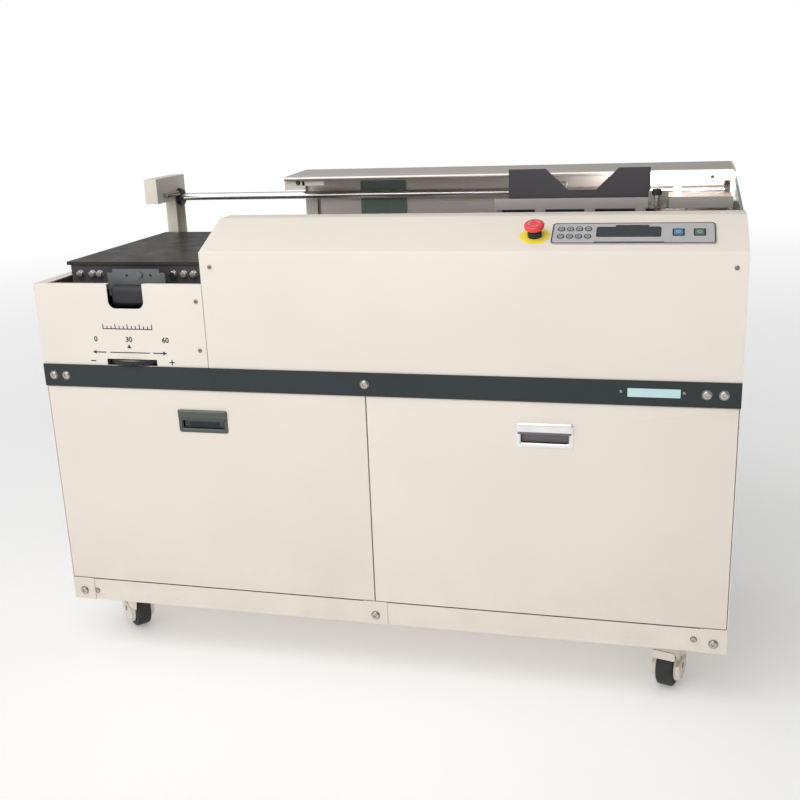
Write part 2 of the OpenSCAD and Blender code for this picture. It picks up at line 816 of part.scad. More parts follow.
module stop_head() color("#d8333a") place() {
    on_slope(stop_x, stop_s) {
        translate([0, 0, -14])
            cylinder(h = 14 + stop_h[0] + stop_travel + 1, r = 6);
        translate([0, 0, stop_h[0] + stop_travel + 0.5])
            cylinder(h = stop_h[1] - stop_h[0] - 4, r1 = stop_r - 3, r2 = stop_r);
        translate([0, 0, stop_h[1] + stop_travel - 3.5])
            cylinder(h = 4, r1 = stop_r, r2 = stop_r - 5);
    }
}

// ---- Inside ----

channel_y = jaw_y + jaw_t + jaw_gap / 2;
roller_z = z_table - 1 - roller_r;
tank_y = [channel_y - 68, channel_y + 68];
tank_z = roller_z - roller_r - 14;
shaft_r = 8;

module glue_tank() color("#8b8f90") place() {
    x0 = roller_x - tank.x / 2;
    x1 = roller_x + tank.x / 2;
    difference() {
        block([x0, tank_y[0], tank_z], [x1, tank_y[1], tank_z + tank.y]);
        block([x0 + tank_t, tank_y[0] + tank_t, tank_z + tank_t],
            [x1 - tank_t, tank_y[1] - tank_t, tank_z + tank.y + 1]);
        bar_y(roller_x, tank_y[0] - 1, tank_y[1] + 1, roller_z, shaft_r + fit);
    }
    for (x = [x0, x1 - 6])
        block([x, tank_y[0] + 20, z_deck], [x + 6, tank_y[1] - 20, tank_z]);
}

module glue_roller() color("#9a9d9f") place() {
    bar_y(roller_x, channel_y - 46, channel_y + 46, roller_z, roller_r);
    bar_y(roller_x, tank_y[0] - 4, tank_y[1] + 8, roller_z, shaft_r);
}

motor_r = 50;
spindle_r = 9;
motor_top = z_table - 22;

// The cutter's motor stands on the deck, and the roller's motor lies behind the tank
module motors() color("#55595c") place() {
    difference() {
        union() {
            bar_z(cutter_x, channel_y, z_deck, motor_top - 20, motor_r);
            bar_z(cutter_x, channel_y, motor_top - 20, motor_top, spindle_r + 12);
        }
        bar_z(cutter_x, channel_y, motor_top - 60, motor_top + 1, spindle_r + fit);
    }
    difference() {
        bar_y(roller_x, tank_y[1] + 1, tank_y[1] + 90, roller_z, 26);
        bar_y(roller_x, tank_y[1], tank_y[1] + 12, roller_z, shaft_r + fit);
    }
    block([roller_x - 20, tank_y[1] + 30, z_deck], [roller_x + 20, tank_y[1] + 80,
        roller_z - 25]);
}

module cutter_disc() color("#b8babc") place() {
    bar_z(cutter_x, channel_y, z_table - 12, z_table - 1, cutter_r);
    bar_z(cutter_x, channel_y, motor_top - 50, z_table - 12, spindle_r);
}

gland_x = body_w - 120;
gland_z = z_rail + 40;
gland_thread_r = 10;

module cable_gland() color(black) place() {
    difference() {
        union() {
            bar_y(gland_x, back_in - 10, body_d, gland_z, gland_thread_r);
            bar_y(gland_x, body_d, body_d + gland_out, gland_z, gland_thread_r + 4);
            bar_y(gland_x, back_in - 6, back_in, gland_z, gland_thread_r + 4);
        }
        bar_y(gland_x, back_in - 11, body_d + gland_out + 1, gland_z, gland_r);
    }
}

// ---- Doors ----

door_z = [z_rail + seat_gap, z_band - door_gap];
door_x = [[door_gap + sheet_t, mid_x - door_gap], [mid_x + door_gap, inner_r - door_gap]];
hem_r = 2;
handle_z = z_band - handle_drop;

// A folded steel door, with a hole for its handle. It stands on the rail on its rolled
// hem, tilts forwards about it and lifts off.
module door(i) {
    x0 = door_x[i][0];
    x1 = door_x[i][1];
    xm = (x0 + x1) / 2;
    hole = [handle.x - 2 * handle_rim + 1, handle.y - 2 * handle_rim + 1];
    difference() {
        block([x0, 0, door_z[0] + hem_r], [x1, sheet_t, door_z[1]]);
        block([xm - hole.x / 2, -1, handle_z - hole.y / 2],
            [xm + hole.x / 2, sheet_t + 1, handle_z + hole.y / 2]);
    }
    bar_x(x0, x1, hem_r, door_z[0] + hem_r, hem_r);
    for (z = [door_z[0], door_z[1] - sheet_t])
        block([x0, sheet_t, z], [x1, door_d, z + sheet_t]);
    for (x = [x0, x1 - sheet_t])
        block([x, sheet_t, door_z[0] + sheet_t], [x + sheet_t, door_d, door_z[1] - sheet_t]);
}

// A flush pull: a flat rim on the door, the finger pocket behind it and a proud lip above
module flush_handle(i) {
    xm = (door_x[i][0] + door_x[i][1]) / 2;
    rim_t = 1.5;
    wall = 1.5;
    outer = [handle.x / 2 - handle_rim, handle.y / 2 - handle_rim];
    difference() {
        union() {
            block([xm - handle.x / 2, -rim_t, handle_z - handle.y / 2],
                [xm + handle.x / 2, 0, handle_z + handle.y / 2]);
            block([xm - outer.x, 0, handle_z - outer.y],
                [xm + outer.x, pocket_d, handle_z + outer.y]);
        }
        block([xm - outer.x + wall, -rim_t - 1, handle_z - outer.y + wall],
            [xm + outer.x - wall, pocket_d - wall, handle_z + outer.y - wall]);
    }
    top = handle_z + handle.y / 2;
    block([xm - handle.x / 2, -rim_t - handle_lip[1], top - handle_lip[0]],
        [xm + handle.x / 2, -rim_t, top]);
}

module door_left() color(cream) place()
    door(0);

module door_right() color(cream) place()
    door(1);

module handle_left() color("#5c625f") place()
    flush_handle(0);

module handle_right() color("#cfd2d2") place()
    flush_handle(1);

// ---- Casters ----

plate = [76, 5];
stem_r = 8;
race_r = 23;
race_h = 9;
race_gap = 0.3;
z_race = caster_h - plate[1];
z_crown = z_race - race_h;
crown_t = 4;
crown_z = z_crown - crown_t;
cheek_x = tread_w / 2 + 2;
cup_r = [28, 42];
cup_z = caster_r + 12;
lug_r = 36;

// Moves its children, drawn about a swivel axis, to caster number i
module at_caster(i) {
    x = i % 2 == 0 ? caster_inset[0] : body_w - caster_inset[0];
    y = i < 2 ? caster_inset[1] : body_d - caster_inset[2];
    translate([x, y, 0])
        rotate([0, 0, caster_turn[i]])
            children();
}

module caster_plates() color(steel) place() {
    for (i = [0:3])
        at_caster(i) {
            translate([0, 0, z_race + plate[1] / 2])
                rotate([0, 0, -caster_turn[i]])
                    cube([plate[0], plate[0], plate[1]], center = true);
            bar_z(0, 0, z_crown + race_gap, z_race, race_r);
            bar_z(0, 0, crown_z - 2, z_crown + race_gap, stem_r);
        }
}

// A profile of [y, z] points on both sides of the wheel, from x to x + t
module both_sides(x, t, points) {
    for (x0 = [-x - t, x])
        run_x(x0, x0 + t, points);
}

// The fork trails behind its swivel axis, towards +Y before it is turned. A drawn cup,
// open at the front and the back for the wheel, runs down into the two cheeks.
module fork(i) color(cream) place() {
    at_caster(i) {
        difference() {
            translate([0, 0, cup_z])
                cylinder(h = z_crown - cup_z, r1 = cup_r[0], r2 = cup_r[1]);
            translate([0, 0, cup_z])
                cylinder(h = crown_z - cup_z, r1 = cup_r[0] - fork_t, r2 = cup_r[1] - fork_t);
            block([-cheek_x, -cup_r[1] - 1, cup_z - 1], [cheek_x, cup_r[1] + 1, crown_z]);
            bar_z(0, 0, crown_z - 1, z_crown + 1, stem_r + fit);
        }
        difference() {
            union() {
                both_sides(cheek_x, fork_t, [[2 - cup_r[1] + fork_t, crown_z],
                    [trail - lug_r, caster_r], [trail + lug_r, caster_r],
                    [cup_r[1] - 4, crown_z]]);
                for (x = [-cheek_x - fork_t, cheek_x])
                    bar_x(x, x + fork_t, trail, caster_r, lug_r);
            }
            bar_x(-60, 60, trail, caster_r, axle_r + fit);
        }
        if (i < 2)
            for (x = [-arm_x - pedal_t - 1, cheek_x])
                bar_x(x, x + fork_t + pedal_t + 1.4, pedal_y, pedal_z, pedal_r);
    }
}

module caster_wheel(i) color(black) place() {
    at_caster(i) {
        bar_x(-tread_w / 2, tread_w / 2, trail, caster_r, caster_r);
        bar_x(-cheek_x - fork_t - 2, cheek_x + fork_t + 2, trail, caster_r, axle_r);
    }
}

pedal_y = trail + 10;
pedal_z = caster_r + 22;
pedal_r = 3;
pedal_t = 3;
arm_x = cheek_x + fork_t + 0.4;

// The brake's foot lever: two arms on the fork's pins, and the sloping tread between them
module pedal(i) color("#d9d6cc") place() {
    at_caster(i) {
        difference() {
            both_sides(arm_x, pedal_t, [[pedal_y - 6, pedal_z - 6], [pedal_y + 2, pedal_z - 8],
                [pedal_y + 34, pedal_z + 23], [pedal_y + 34, pedal_z + 27],
                [pedal_y + 16, pedal_z + 48], [pedal_y + 12, pedal_z + 48],
                [pedal_y - 4, pedal_z + 6]]);
            bar_x(-arm_x - 10, arm_x + 10, pedal_y, pedal_z, pedal_r + fit);
        }
        run_x(-arm_x, arm_x, [[pedal_y + 14, pedal_z + 46], [pedal_y + 16, pedal_z + 48],
            [pedal_y + 34, pedal_z + 27], [pedal_y + 32, pedal_z + 25]]);
    }
}

module caster_fork_fl() fork(0);
module caster_fork_fr() fork(1);
module caster_fork_rl() fork(2);
module caster_fork_rr() fork(3);
module caster_wheel_fl() caster_wheel(0);
module caster_wheel_fr() caster_wheel(1);
module caster_wheel_rl() caster_wheel(2);
module caster_wheel_rr() caster_wheel(3);
module brake_pedal_l() pedal(0);
module brake_pedal_r() pedal(1);

base_frame();
side_panels();
rear_panels();
corner_brackets();
middle_band();
middle_deck();
frame_screws();
station_front();
main_cover();
hood();
hood_ends();
tinted_guards();
rail_post();
head_block();
guide_rod();
rod_collars();
home_tray();
control_panel();
stop_base();
nip_frame();
glue_tank();
motors();
caster_plates();
cable_gland();
door_left();
handle_left();
door_right();
handle_right();
carriage();
carriage_bushes();
clamp_jaw();
side_gauge();
gauge_knob();
nip_table();
nip_bracket();
nip_handle();
thumbwheel();
key(1);  // key_1
key(2);  // key_2
key(3);  // key_3
key(4);  // key_4
key(5);  // key_5
key(6);  // key_6
key(7);  // key_7
key(8);  // key_8
blue_button();
green_button();
stop_head();
cutter_disc();
glue_roller();
caster_fork_fl();
caster_fork_fr();
caster_fork_rl();
caster_fork_rr();
caster_wheel_fl();
caster_wheel_fr();
caster_wheel_rl();
caster_wheel_rr();
brake_pedal_l();
brake_pedal_r();
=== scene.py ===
# The looks of a floor-standing perfect binding machine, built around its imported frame.
# Places are in cabinet millimetres: x from the left side, y back from the doors' faces,
# z up from the floor. at() turns them into the frame's metres.
import json
import math

import bmesh
import bpy
from mathutils import Matrix, Vector

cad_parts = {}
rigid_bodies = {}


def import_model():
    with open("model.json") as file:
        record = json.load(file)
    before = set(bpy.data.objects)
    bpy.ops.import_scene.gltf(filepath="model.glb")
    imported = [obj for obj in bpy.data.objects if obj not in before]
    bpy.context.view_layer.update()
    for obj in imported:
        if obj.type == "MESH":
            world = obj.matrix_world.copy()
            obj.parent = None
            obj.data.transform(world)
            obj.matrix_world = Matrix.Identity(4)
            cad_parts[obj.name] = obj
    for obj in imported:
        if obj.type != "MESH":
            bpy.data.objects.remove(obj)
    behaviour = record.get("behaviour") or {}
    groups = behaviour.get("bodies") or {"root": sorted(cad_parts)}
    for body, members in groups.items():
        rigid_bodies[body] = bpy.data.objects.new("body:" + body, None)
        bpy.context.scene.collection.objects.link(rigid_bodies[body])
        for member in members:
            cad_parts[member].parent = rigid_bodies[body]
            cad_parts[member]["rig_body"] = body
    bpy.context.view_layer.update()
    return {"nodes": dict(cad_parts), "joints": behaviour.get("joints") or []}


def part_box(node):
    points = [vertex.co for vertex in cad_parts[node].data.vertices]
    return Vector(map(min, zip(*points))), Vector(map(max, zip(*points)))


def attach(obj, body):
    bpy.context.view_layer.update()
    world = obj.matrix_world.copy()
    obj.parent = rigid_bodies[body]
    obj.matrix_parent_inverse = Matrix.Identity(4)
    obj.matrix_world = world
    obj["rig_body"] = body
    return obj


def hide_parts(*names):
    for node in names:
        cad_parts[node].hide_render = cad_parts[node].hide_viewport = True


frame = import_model()
MM = 0.001
SCENE = bpy.context.scene

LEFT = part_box("side_panels")[0].x
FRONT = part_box("side_panels")[0].y


def at(x, y, z):
    """A place in cabinet millimetres, in the frame's metres."""
    return Vector((LEFT + x * MM, FRONT + y * MM, z * MM))


def cabinet_box(node):
    """A node's lowest and highest corners, in cabinet millimetres."""
    origin = Vector((LEFT, FRONT, 0))
    return [(corner - origin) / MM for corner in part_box(node)]


# ---- Levels and places, from the frame ----

BODY_W = cabinet_box("side_panels")[1].x
BODY_D = cabinet_box("side_panels")[1].y
Z_PAN, Z_RAIL = (corner.z for corner in cabinet_box("corner_brackets"))
Z_BAND, Z_TOP = (corner.z for corner in cabinet_box("middle_band"))
Z_RIM = cabinet_box("station_front")[1].z
Z_CREST = cabinet_box("main_cover")[1].z
SHELF_Y = cabinet_box("main_cover")[1].y
SLOPE_RUN = 125.0
SLOPE_RISE = 55.0
Z_FOLD = Z_CREST - SLOPE_RISE
SLOPE = math.atan2(SLOPE_RISE, SLOPE_RUN)
BAND_FACE = cabinet_box("middle_band")[0].y
BRACKET_FACE = cabinet_box("corner_brackets")[0].y
CORNERS = ("fl", "fr", "rl", "rr")
# The panel on the slope: its left edge, its lower edge up the slope, its width and height
PANEL = (1131, 26, 310, 75)

X = Vector((1, 0, 0))
Y = Vector((0, 1, 0))
Z = Vector((0, 0, 1))
UP_SLOPE = Vector((0, math.cos(SLOPE), math.sin(SLOPE)))


# ---- Materials ----

def linear(red, green, blue):
    """A colour given as it looks on a screen, 0 to 255, as the shaders want it."""
    values = [channel / 255 for channel in (red, green, blue)]
    return [v / 12.92 if v <= 0.04045 else ((v + 0.055) / 1.055) ** 2.4 for v in values]


class Finish:
    """A procedural material: its colour drifts, its surface has grain, its gloss varies."""

    def __init__(self, name, colour, metallic=0.0, roughness=0.4, **sockets):
        self.material = bpy.data.materials.new(name)
        self.material.use_nodes = True
        self.tree = self.material.node_tree
        self.shader = self.tree.nodes["Principled BSDF"]
        self.shader.inputs["Metallic"].default_value = metallic
        for socket, value in sockets.items():
            self.shader.inputs[socket.replace("_", " ")].default_value = value
        self.colour = linear(*colour)
        self.roughness = roughness
        self.coordinates = self.add("ShaderNodeTexCoord").outputs["Object"]
        self.tone = None

    def add(self, kind, **inputs):
        node = self.tree.nodes.new(kind)
        for name, value in inputs.items():
            node.inputs[name.replace("_", " ")].default_value = value
        return node

    def link(self, source, target):
        self.tree.links.new(source, target)

    def noise(self, scale, stretch=(1, 1, 1), detail=3.0):
        """Noise at so many cycles a metre, drawn out along the axes with a small stretch."""
        mapping = self.add("ShaderNodeMapping", Scale=stretch)
        self.link(self.coordinates, mapping.inputs["Vector"])
        noise = self.add("ShaderNodeTexNoise", Scale=scale, Detail=detail)
        self.link(mapping.outputs["Vector"], noise.inputs["Vector"])
        return noise.outputs["Fac"]

    def cells(self, scale):
        """Irregular crystal cells at so many a metre, each with its own value."""
        cells = self.add("ShaderNodeTexVoronoi", Scale=scale)
        self.link(self.coordinates, cells.inputs["Vector"])
        split = self.add("ShaderNodeSeparateColor")
        self.link(cells.outputs["Color"], split.inputs["Color"])
        return split.outputs["Red"]

    def spread(self, value, low, high, start=0.3, end=0.7):
        node = self.add("ShaderNodeMapRange", From_Min=start, From_Max=end, To_Min=low,
                        To_Max=high)
        self.link(value, node.inputs["Value"])
        return node.outputs["Result"]

    def blend(self, amount, first, second):
        node = self.tree.nodes.new("ShaderNodeMix")
        node.data_type = "RGBA"
        self.link(amount, node.inputs["Factor"])
        for socket, value in ((node.inputs[6], first), (node.inputs[7], second)):
            if isinstance(value, (list, tuple)):
                socket.default_value = (*value, 1)
            else:
                self.link(value, socket)
        return node.outputs[2]

    def drift(self, amount, scale, share=0.04):
        """The colour goes a share lighter and darker, by an amount or else by slow noise."""
        tone = self.noise(scale) if amount is None else amount
        light = [min(1.0, c * (1 + share)) for c in self.colour]
        dark = [c * (1 - share) for c in self.colour]
        self.tone = self.blend(self.spread(tone, 0, 1), dark, light)
        return self

    def dirt(self, colour, low, high, most=0.35):
        """Dust that gathers towards the floor, from height high down to low, in metres."""
        split = self.add("ShaderNodeSeparateXYZ")
        self.link(self.coordinates, split.inputs["Vector"])
        fade = self.spread(split.outputs["Z"], most, 0, low, high)
        patches = self.spread(self.noise(14), 0.2, 1)
        both = self.add("ShaderNodeMath")
        both.operation = "MULTIPLY"
        self.link(fade, both.inputs[0])
        self.link(patches, both.inputs[1])
        self.tone = self.blend(both.outputs["Value"], self.tone, linear(*colour))
        return self

    def grain(self, height, value):
        """The surface rises and falls by a height, in metres, with a value."""
        bump = self.add("ShaderNodeBump", Strength=1.0, Distance=height)
        self.link(value, bump.inputs["Height"])
        self.link(bump.outputs["Normal"], self.shader.inputs["Normal"])
        return self

    def gloss(self, value, swing=0.06):
        rough = self.spread(value, max(0.02, self.roughness - swing), self.roughness + swing)
        self.link(rough, self.shader.inputs["Roughness"])
        return self

    def done(self):
        self.link(self.tone, self.shader.inputs["Base Color"])
        return self.material


def painted(name, colour, roughness, peel=520, height=0.00004, share=0.025, **sockets):
    """Powder coat: a fine orange peel, and a slow drift in tone."""
    f = Finish(name, colour, 0.0, roughness, **sockets)
    f.drift(None, 3.5, share).grain(height, f.noise(peel, detail=2)).gloss(f.noise(22))
    return f


def brushed(name, colour, roughness, along, share=0.07, metallic=1.0):
    """Metal brushed along an axis: 0, 1 or 2 for X, Y or Z."""
    stretch = [1.0, 1.0, 1.0]
    stretch[along] = 0.02
    f = Finish(name, colour, metallic, roughness)
    lines = f.noise(1400, stretch, 4)
    return f.drift(lines, 0, share).grain(0.00001, lines).gloss(f.noise(30, stretch), 0.08)


def moulded(name, colour, roughness, share=0.05, grit=1600, height=0.00003, **sockets):
    """Moulded plastic or rubber with a fine spark-eroded skin."""
    f = Finish(name, colour, 0.0, roughness, **sockets)
    f.drift(None, 40, share).grain(height, f.noise(grit, detail=2)).gloss(f.noise(60))
    return f


def galvanised(name, colour, roughness, cells=110, share=0.13):
    """Zinc with its crystal cells."""
    f = Finish(name, colour, 1.0, roughness)
    spangle = f.cells(cells)
    f.drift(spangle, 0, share).grain(0.00001, f.noise(700)).gloss(spangle, 0.09)
    return f


def plated(name, colour, roughness, scratches=900):
    """Bright plating with hairline scratches."""
    f = Finish(name, colour, 1.0, roughness)
    lines = f.noise(scratches, (0.05, 1, 1), 5)
    return f.drift(None, 25, 0.05).grain(0.000004, lines).gloss(lines, 0.05)


def tinted(name, colour):
    """A dark see-through guard sheet with faint wipe marks."""
    f = Finish(name, colour, 0.0, 0.16, Transmission_Weight=0.15, IOR=1.49)
    f.drift(None, 6, 0.1).grain(0.00001, f.noise(60)).gloss(f.noise(18, (1, 1, 0.3)), 0.05)
    return f


MATERIALS = {
    "cream_paint": painted("cream_paint", (234, 225, 214), 0.45)
    .dirt((188, 176, 158), 0.13, 0.4, 0.22).done(),
    "slate_paint": painted("slate_paint", (47, 54, 56), 0.48, share=0.08,
                           Specular_IOR_Level=0.3).done(),
    "charcoal_paint": painted("charcoal_paint", (74, 72, 76), 0.55, 700, 0.00008, 0.1,
                              Specular_IOR_Level=0.3).done(),
    "stainless": brushed("stainless", (224, 216, 210), 0.42, 0, metallic=0.7).done(),
    "zinc_plate": galvanised("zinc_plate", (166, 158, 152), 0.4).done(),
    "chrome": plated("chrome", (240, 239, 238), 0.24).done(),
    "aluminium": brushed("aluminium", (192, 187, 183), 0.42, 0, metallic=0.8).done(),
    "bronze": plated("bronze", (176, 138, 74), 0.35).done(),
    "tinted_sheet": tinted("tinted_sheet", (142, 160, 150)).done(),
    "black_table": painted("black_table", (60, 56, 50), 0.36, 300, 0.00003, 0.15,
                           Specular_IOR_Level=0.16).done(),
    "black_plastic": moulded("black_plastic", (34, 35, 38), 0.42).done(),
    "panel_grey": moulded("panel_grey", (182, 179, 179), 0.5, 0.03).done(),
    "key_grey": moulded("key_grey", (158, 162, 166), 0.5, 0.04).done(),
    "blue_plastic": moulded("blue_plastic", (66, 124, 174), 0.25, Coat_Weight=0.4).done(),
    "green_plastic": moulded("green_plastic", (66, 116, 98), 0.25, Coat_Weight=0.4).done(),
    "red_plastic": moulded("red_plastic", (230, 60, 66), 0.28, Coat_Weight=0.4).done(),
    "tread": moulded("tread", (40, 40, 42), 0.62, 0.12, 800, 0.0001).done(),
}
# Finishes of small trim, which have no slot in the record
TRIM = {
    "yellow_label": moulded("yellow_label", (246, 230, 76), 0.4, 0.04).done(),
    "aqua_plate": brushed("aqua_plate", (196, 226, 228), 0.4, 0, 0.04, 0.2).done(),
    "dark_ink": moulded("dark_ink", (44, 46, 52), 0.5, 0.08).done(),
    "display_glass": moulded("display_glass", (40, 47, 52), 0.3, Coat_Weight=0.2).done(),
    "grey_enamel": painted("grey_enamel", (104, 108, 110), 0.4, 700, share=0.08).done(),
    "hub_nylon": moulded("hub_nylon", (176, 174, 168), 0.45, 0.05).done(),
    "bright_steel": plated("bright_steel", (188, 185, 180), 0.24, 500).done(),
    # The screws' steel, darkened: painted shade round the heads on their washers, and a painted
    # dark reflection on the cover's screws
    "steel_painted_shade": plated("steel_painted_shade", (148, 144, 138), 0.36, 500).done(),
    # The right handle's chrome, darkened: a painted dark reflection on the left handle
    "chrome_painted_dark_reflection": plated("chrome_painted_dark_reflection", (98, 103, 98), 0.36, 500).done(),
    # Pocket linings: painted shade in the handles' recesses, lighter in the right handle and
    # darker in the left
    "pocket_painted_shade_right": painted("pocket_painted_shade_right", (112, 107, 111), 0.5, 700, share=0.08).done(),
    "pocket_painted_shade_left": painted("pocket_painted_shade_left", (70, 82, 79), 0.5, 700, share=0.08).done(),
}


# ---- Making pieces ----

def add_piece(name, mesh, finish, body, replaces=(), sharp=35):
    """A new piece that rides on a body, with its finish and what it stands for."""
    piece = bpy.data.objects.new(name, mesh)
    SCENE.collection.objects.link(piece)
    mesh.materials.clear()
    mesh.materials.append(MATERIALS.get(finish) or TRIM[finish])
    mesh.polygons.foreach_set("use_smooth", [True] * len(mesh.polygons))
    mesh.set_sharp_from_angle(angle=math.radians(sharp))
    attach(piece, body)
    if replaces:
        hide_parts(*replaces)
    return piece


CABINET = Matrix.Translation(at(0, 0, 0))
# Points closer than this are one, and faces that turn less than this are flat
MERGE, FLAT_ANGLE = 0.01, math.radians(0.6)
# How near an edge has to be to a fold's line, and the least turn of an edge that is broken
ON_LINE, EDGE_ANGLE = 0.1, math.radians(38)


def soften(node, finish, edge=0.5, folds=(), space=CABINET, fold_steps=4):
    """A node's own shape with its bends rolled and its other edges broken.

    A fold is (axis, first, second, setback): the edges along that axis of a space, at these
    two other coordinates, and how far back from the corner the bend starts.
    """
    inverse = space.inverted()
    source = frame["nodes"][node]
    mesh = bpy.data.meshes.new(node + "_finished")
    mesh.from_pydata([v.co for v in source.data.vertices], [],
                     [list(p.vertices) for p in source.data.polygons])
    bm = bmesh.new()
    bm.from_mesh(mesh)
    bmesh.ops.remove_doubles(bm, verts=bm.verts, dist=MERGE * MM)
    bmesh.ops.dissolve_limit(bm, angle_limit=FLAT_ANGLE, verts=bm.verts, edges=bm.edges)
    for axis, first, second, setback in folds:
        others = [i for i in range(3) if i != axis]
        edges = []
        for edge_here in bm.edges:
            a, b = (inverse @ v.co / MM for v in edge_here.verts)
            along = abs((b - a).normalized()[axis]) > 0.999
            here = all(abs(a[i] - where) < ON_LINE
                       for i, where in zip(others, (first, second)))
            if along and here:
                edges.append(edge_here)
        if edges:
            bmesh.ops.bevel(bm, geom=edges, offset=setback * MM, segments=fold_steps,
                            profile=0.5, affect="EDGES", clamp_overlap=True)
    bm.to_mesh(mesh)
    bm.free()
    piece = add_piece(node + "_finished", mesh, finish, source["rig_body"], [node])
    if edge:
        bevel = piece.modifiers.new("edges", "BEVEL")
        bevel.width = edge * MM
        bevel.segments = 2
        bevel.limit_method = "ANGLE"
        bevel.angle_limit = EDGE_ANGLE
        bevel.harden_normals = True
    return piece


def placed(u, v, w, origin):
    """A place with three given axes, whose origin is in the frame's metres."""
    matrix = Matrix((u, v, w)).transposed().to_4x4()
    matrix.translation = origin
    return matrix


def facing(u, v, x, y, z):
    """A flat place to draw on: u and v lie in it, and its normal is u cross v."""
    return placed(u, v, u.cross(v), at(x, y, z))


def front(x, y, z):
    return facing(X, Z, x, y, z)


def on_slope(x, s, n=0.0):
    """A place on the cover's slope: x across, s up the slope and n out of it."""
    where = facing(X, UP_SLOPE, x, 0, Z_FOLD)
    where.translation += UP_SLOPE * s * MM + X.cross(UP_SLOPE) * n * MM
    return where


def disc(radius, count=48):
    """A circle's points."""
    return [(radius * math.cos(math.tau * i / count), radius * math.sin(math.tau * i / count))
            for i in range(count)]


def hexagon(radius, count=48):
    """A hexagon with as many points as a circle. radius is from its middle to its flats."""
    points = []
    for i in range(count):
        turn = math.tau * i / count
        r = radius / math.cos((turn + math.pi / 6) % (math.pi / 3) - math.pi / 6)
        points.append((r * math.cos(turn), r * math.sin(turn)))
    return points


def cross(reach, half_width, count=48):
    """The outline of a cross recess, with as many points as a circle."""
    points = []
    for i in range(count):
        turn = math.tau * i / count
        off = (turn + math.pi / 4) % (math.pi / 2) - math.pi / 4
        r = reach / math.cos(off)
        if abs(math.sin(off)) > 1e-6:
            r = min(r, half_width / abs(math.sin(off)))
        points.append((r * math.cos(turn), r * math.sin(turn)))
    return points


def round_rect(width, height, radius, steps=6, dx=0.0, dy=0.0):
    """A rectangle with round corners."""
    points = []
    radius = min(radius, width / 2, height / 2)
    for corner, (sx, sy) in enumerate(((1, 1), (-1, 1), (-1, -1), (1, -1))):
        for i in range(steps + 1):
            turn = math.pi / 2 * (corner + i / steps)
            points.append((dx + sx * (width / 2 - radius) + radius * math.cos(turn),
                           dy + sy * (height / 2 - radius) + radius * math.sin(turn)))
    return points


def loft(bm, where, rings, closed=False):
    """Skins rings of (outline, height), in millimetres, and caps both ends or joins them."""
    rows = [[bm.verts.new(where @ (Vector((u, v, height)) * MM)) for u, v in outline]
            for outline, height in rings]
    pairs = list(zip(rows, rows[1:]))
    if closed:
        pairs.append((rows[-1], rows[0]))
    for lower, upper in pairs:
        for i in range(len(lower)):
            j = (i + 1) % len(lower)
            bm.faces.new((lower[i], lower[j], upper[j], upper[i]))
    if not closed:
        bm.faces.new(list(reversed(rows[0])))
        bm.faces.new(rows[-1])


def lofted(name, finish, body, parts, replaces=(), sharp=35):
    """One piece of several lofts: each part is (where, rings) or (where, rings, closed)."""
    bm = bmesh.new()
    for part in parts:
        loft(bm, *part)
    bmesh.ops.recalc_face_normals(bm, faces=bm.faces)
    mesh = bpy.data.meshes.new(name)
    bm.to_mesh(mesh)
    bm.free()
    return add_piece(name, mesh, finish, body, replaces, sharp)


def slab(outline_at, height, edge=0.2, base=0.0):
    """Rings of a flat plate with a broken upper edge. outline_at(inset) gives its outline."""
    return [(outline_at(0), base), (outline_at(0), base + height - edge),
            (outline_at(edge), base + height)]


def frame_ring(outer, inner, height, base=0.0):
    """Rings of a flat frame between two outlines."""
    return [(outer, base), (outer, base + height), (inner, base + height), (inner, base)]


def plate(width, height, radius, thick, edge=0.2, base=0.0, **more):
    """Rings of a slab with round corners. more can be round_rect's steps, dx and dy."""
    return slab(lambda inset: round_rect(width - 2 * inset, height - 2 * inset, radius, **more),
                thick, edge, base)


def turned(profile, count=48):
    """Rings of a turned shape, from its (radius, height) pairs."""
    return [(disc(radius, count), height) for radius, height in profile]


# ---- Sheet metal and the pieces that keep their nodes' shapes ----

# How far back from the corner the bends start
COVER_BEND, REAR_BEND, RIM_BEND, SIDE_BEND = 3.0, 2.0, 1.6, 1.2
PANEL_CORNER, PANEL_CORNER_STEPS = 8, 6
# Nodes whose edges are only broken: each one's finish and how much comes off its edges
MACHINED = (
    ("guide_rod", "chrome", 0.8), ("rod_collars", "black_plastic", 0.8),
    ("carriage", "aluminium", 0.5), ("carriage_bushes", "bronze", 0.3),
    ("clamp_jaw", "charcoal_paint", 0.6), ("side_gauge", "zinc_plate", 0.4),
    ("nip_frame", "charcoal_paint", 0.8), ("nip_table", "black_table", 1.2),
    ("nip_bracket", "grey_enamel", 0.4), ("nip_handle", "black_plastic", 2.5),
    ("glue_tank", "aluminium", 0.6), ("glue_roller", "stainless", 0.8),
    ("cutter_disc", "stainless", 0.5), ("motors", "charcoal_paint", 1.0),
    ("caster_plates", "zinc_plate", 0.5), ("cable_gland", "black_plastic", 0.8),
)


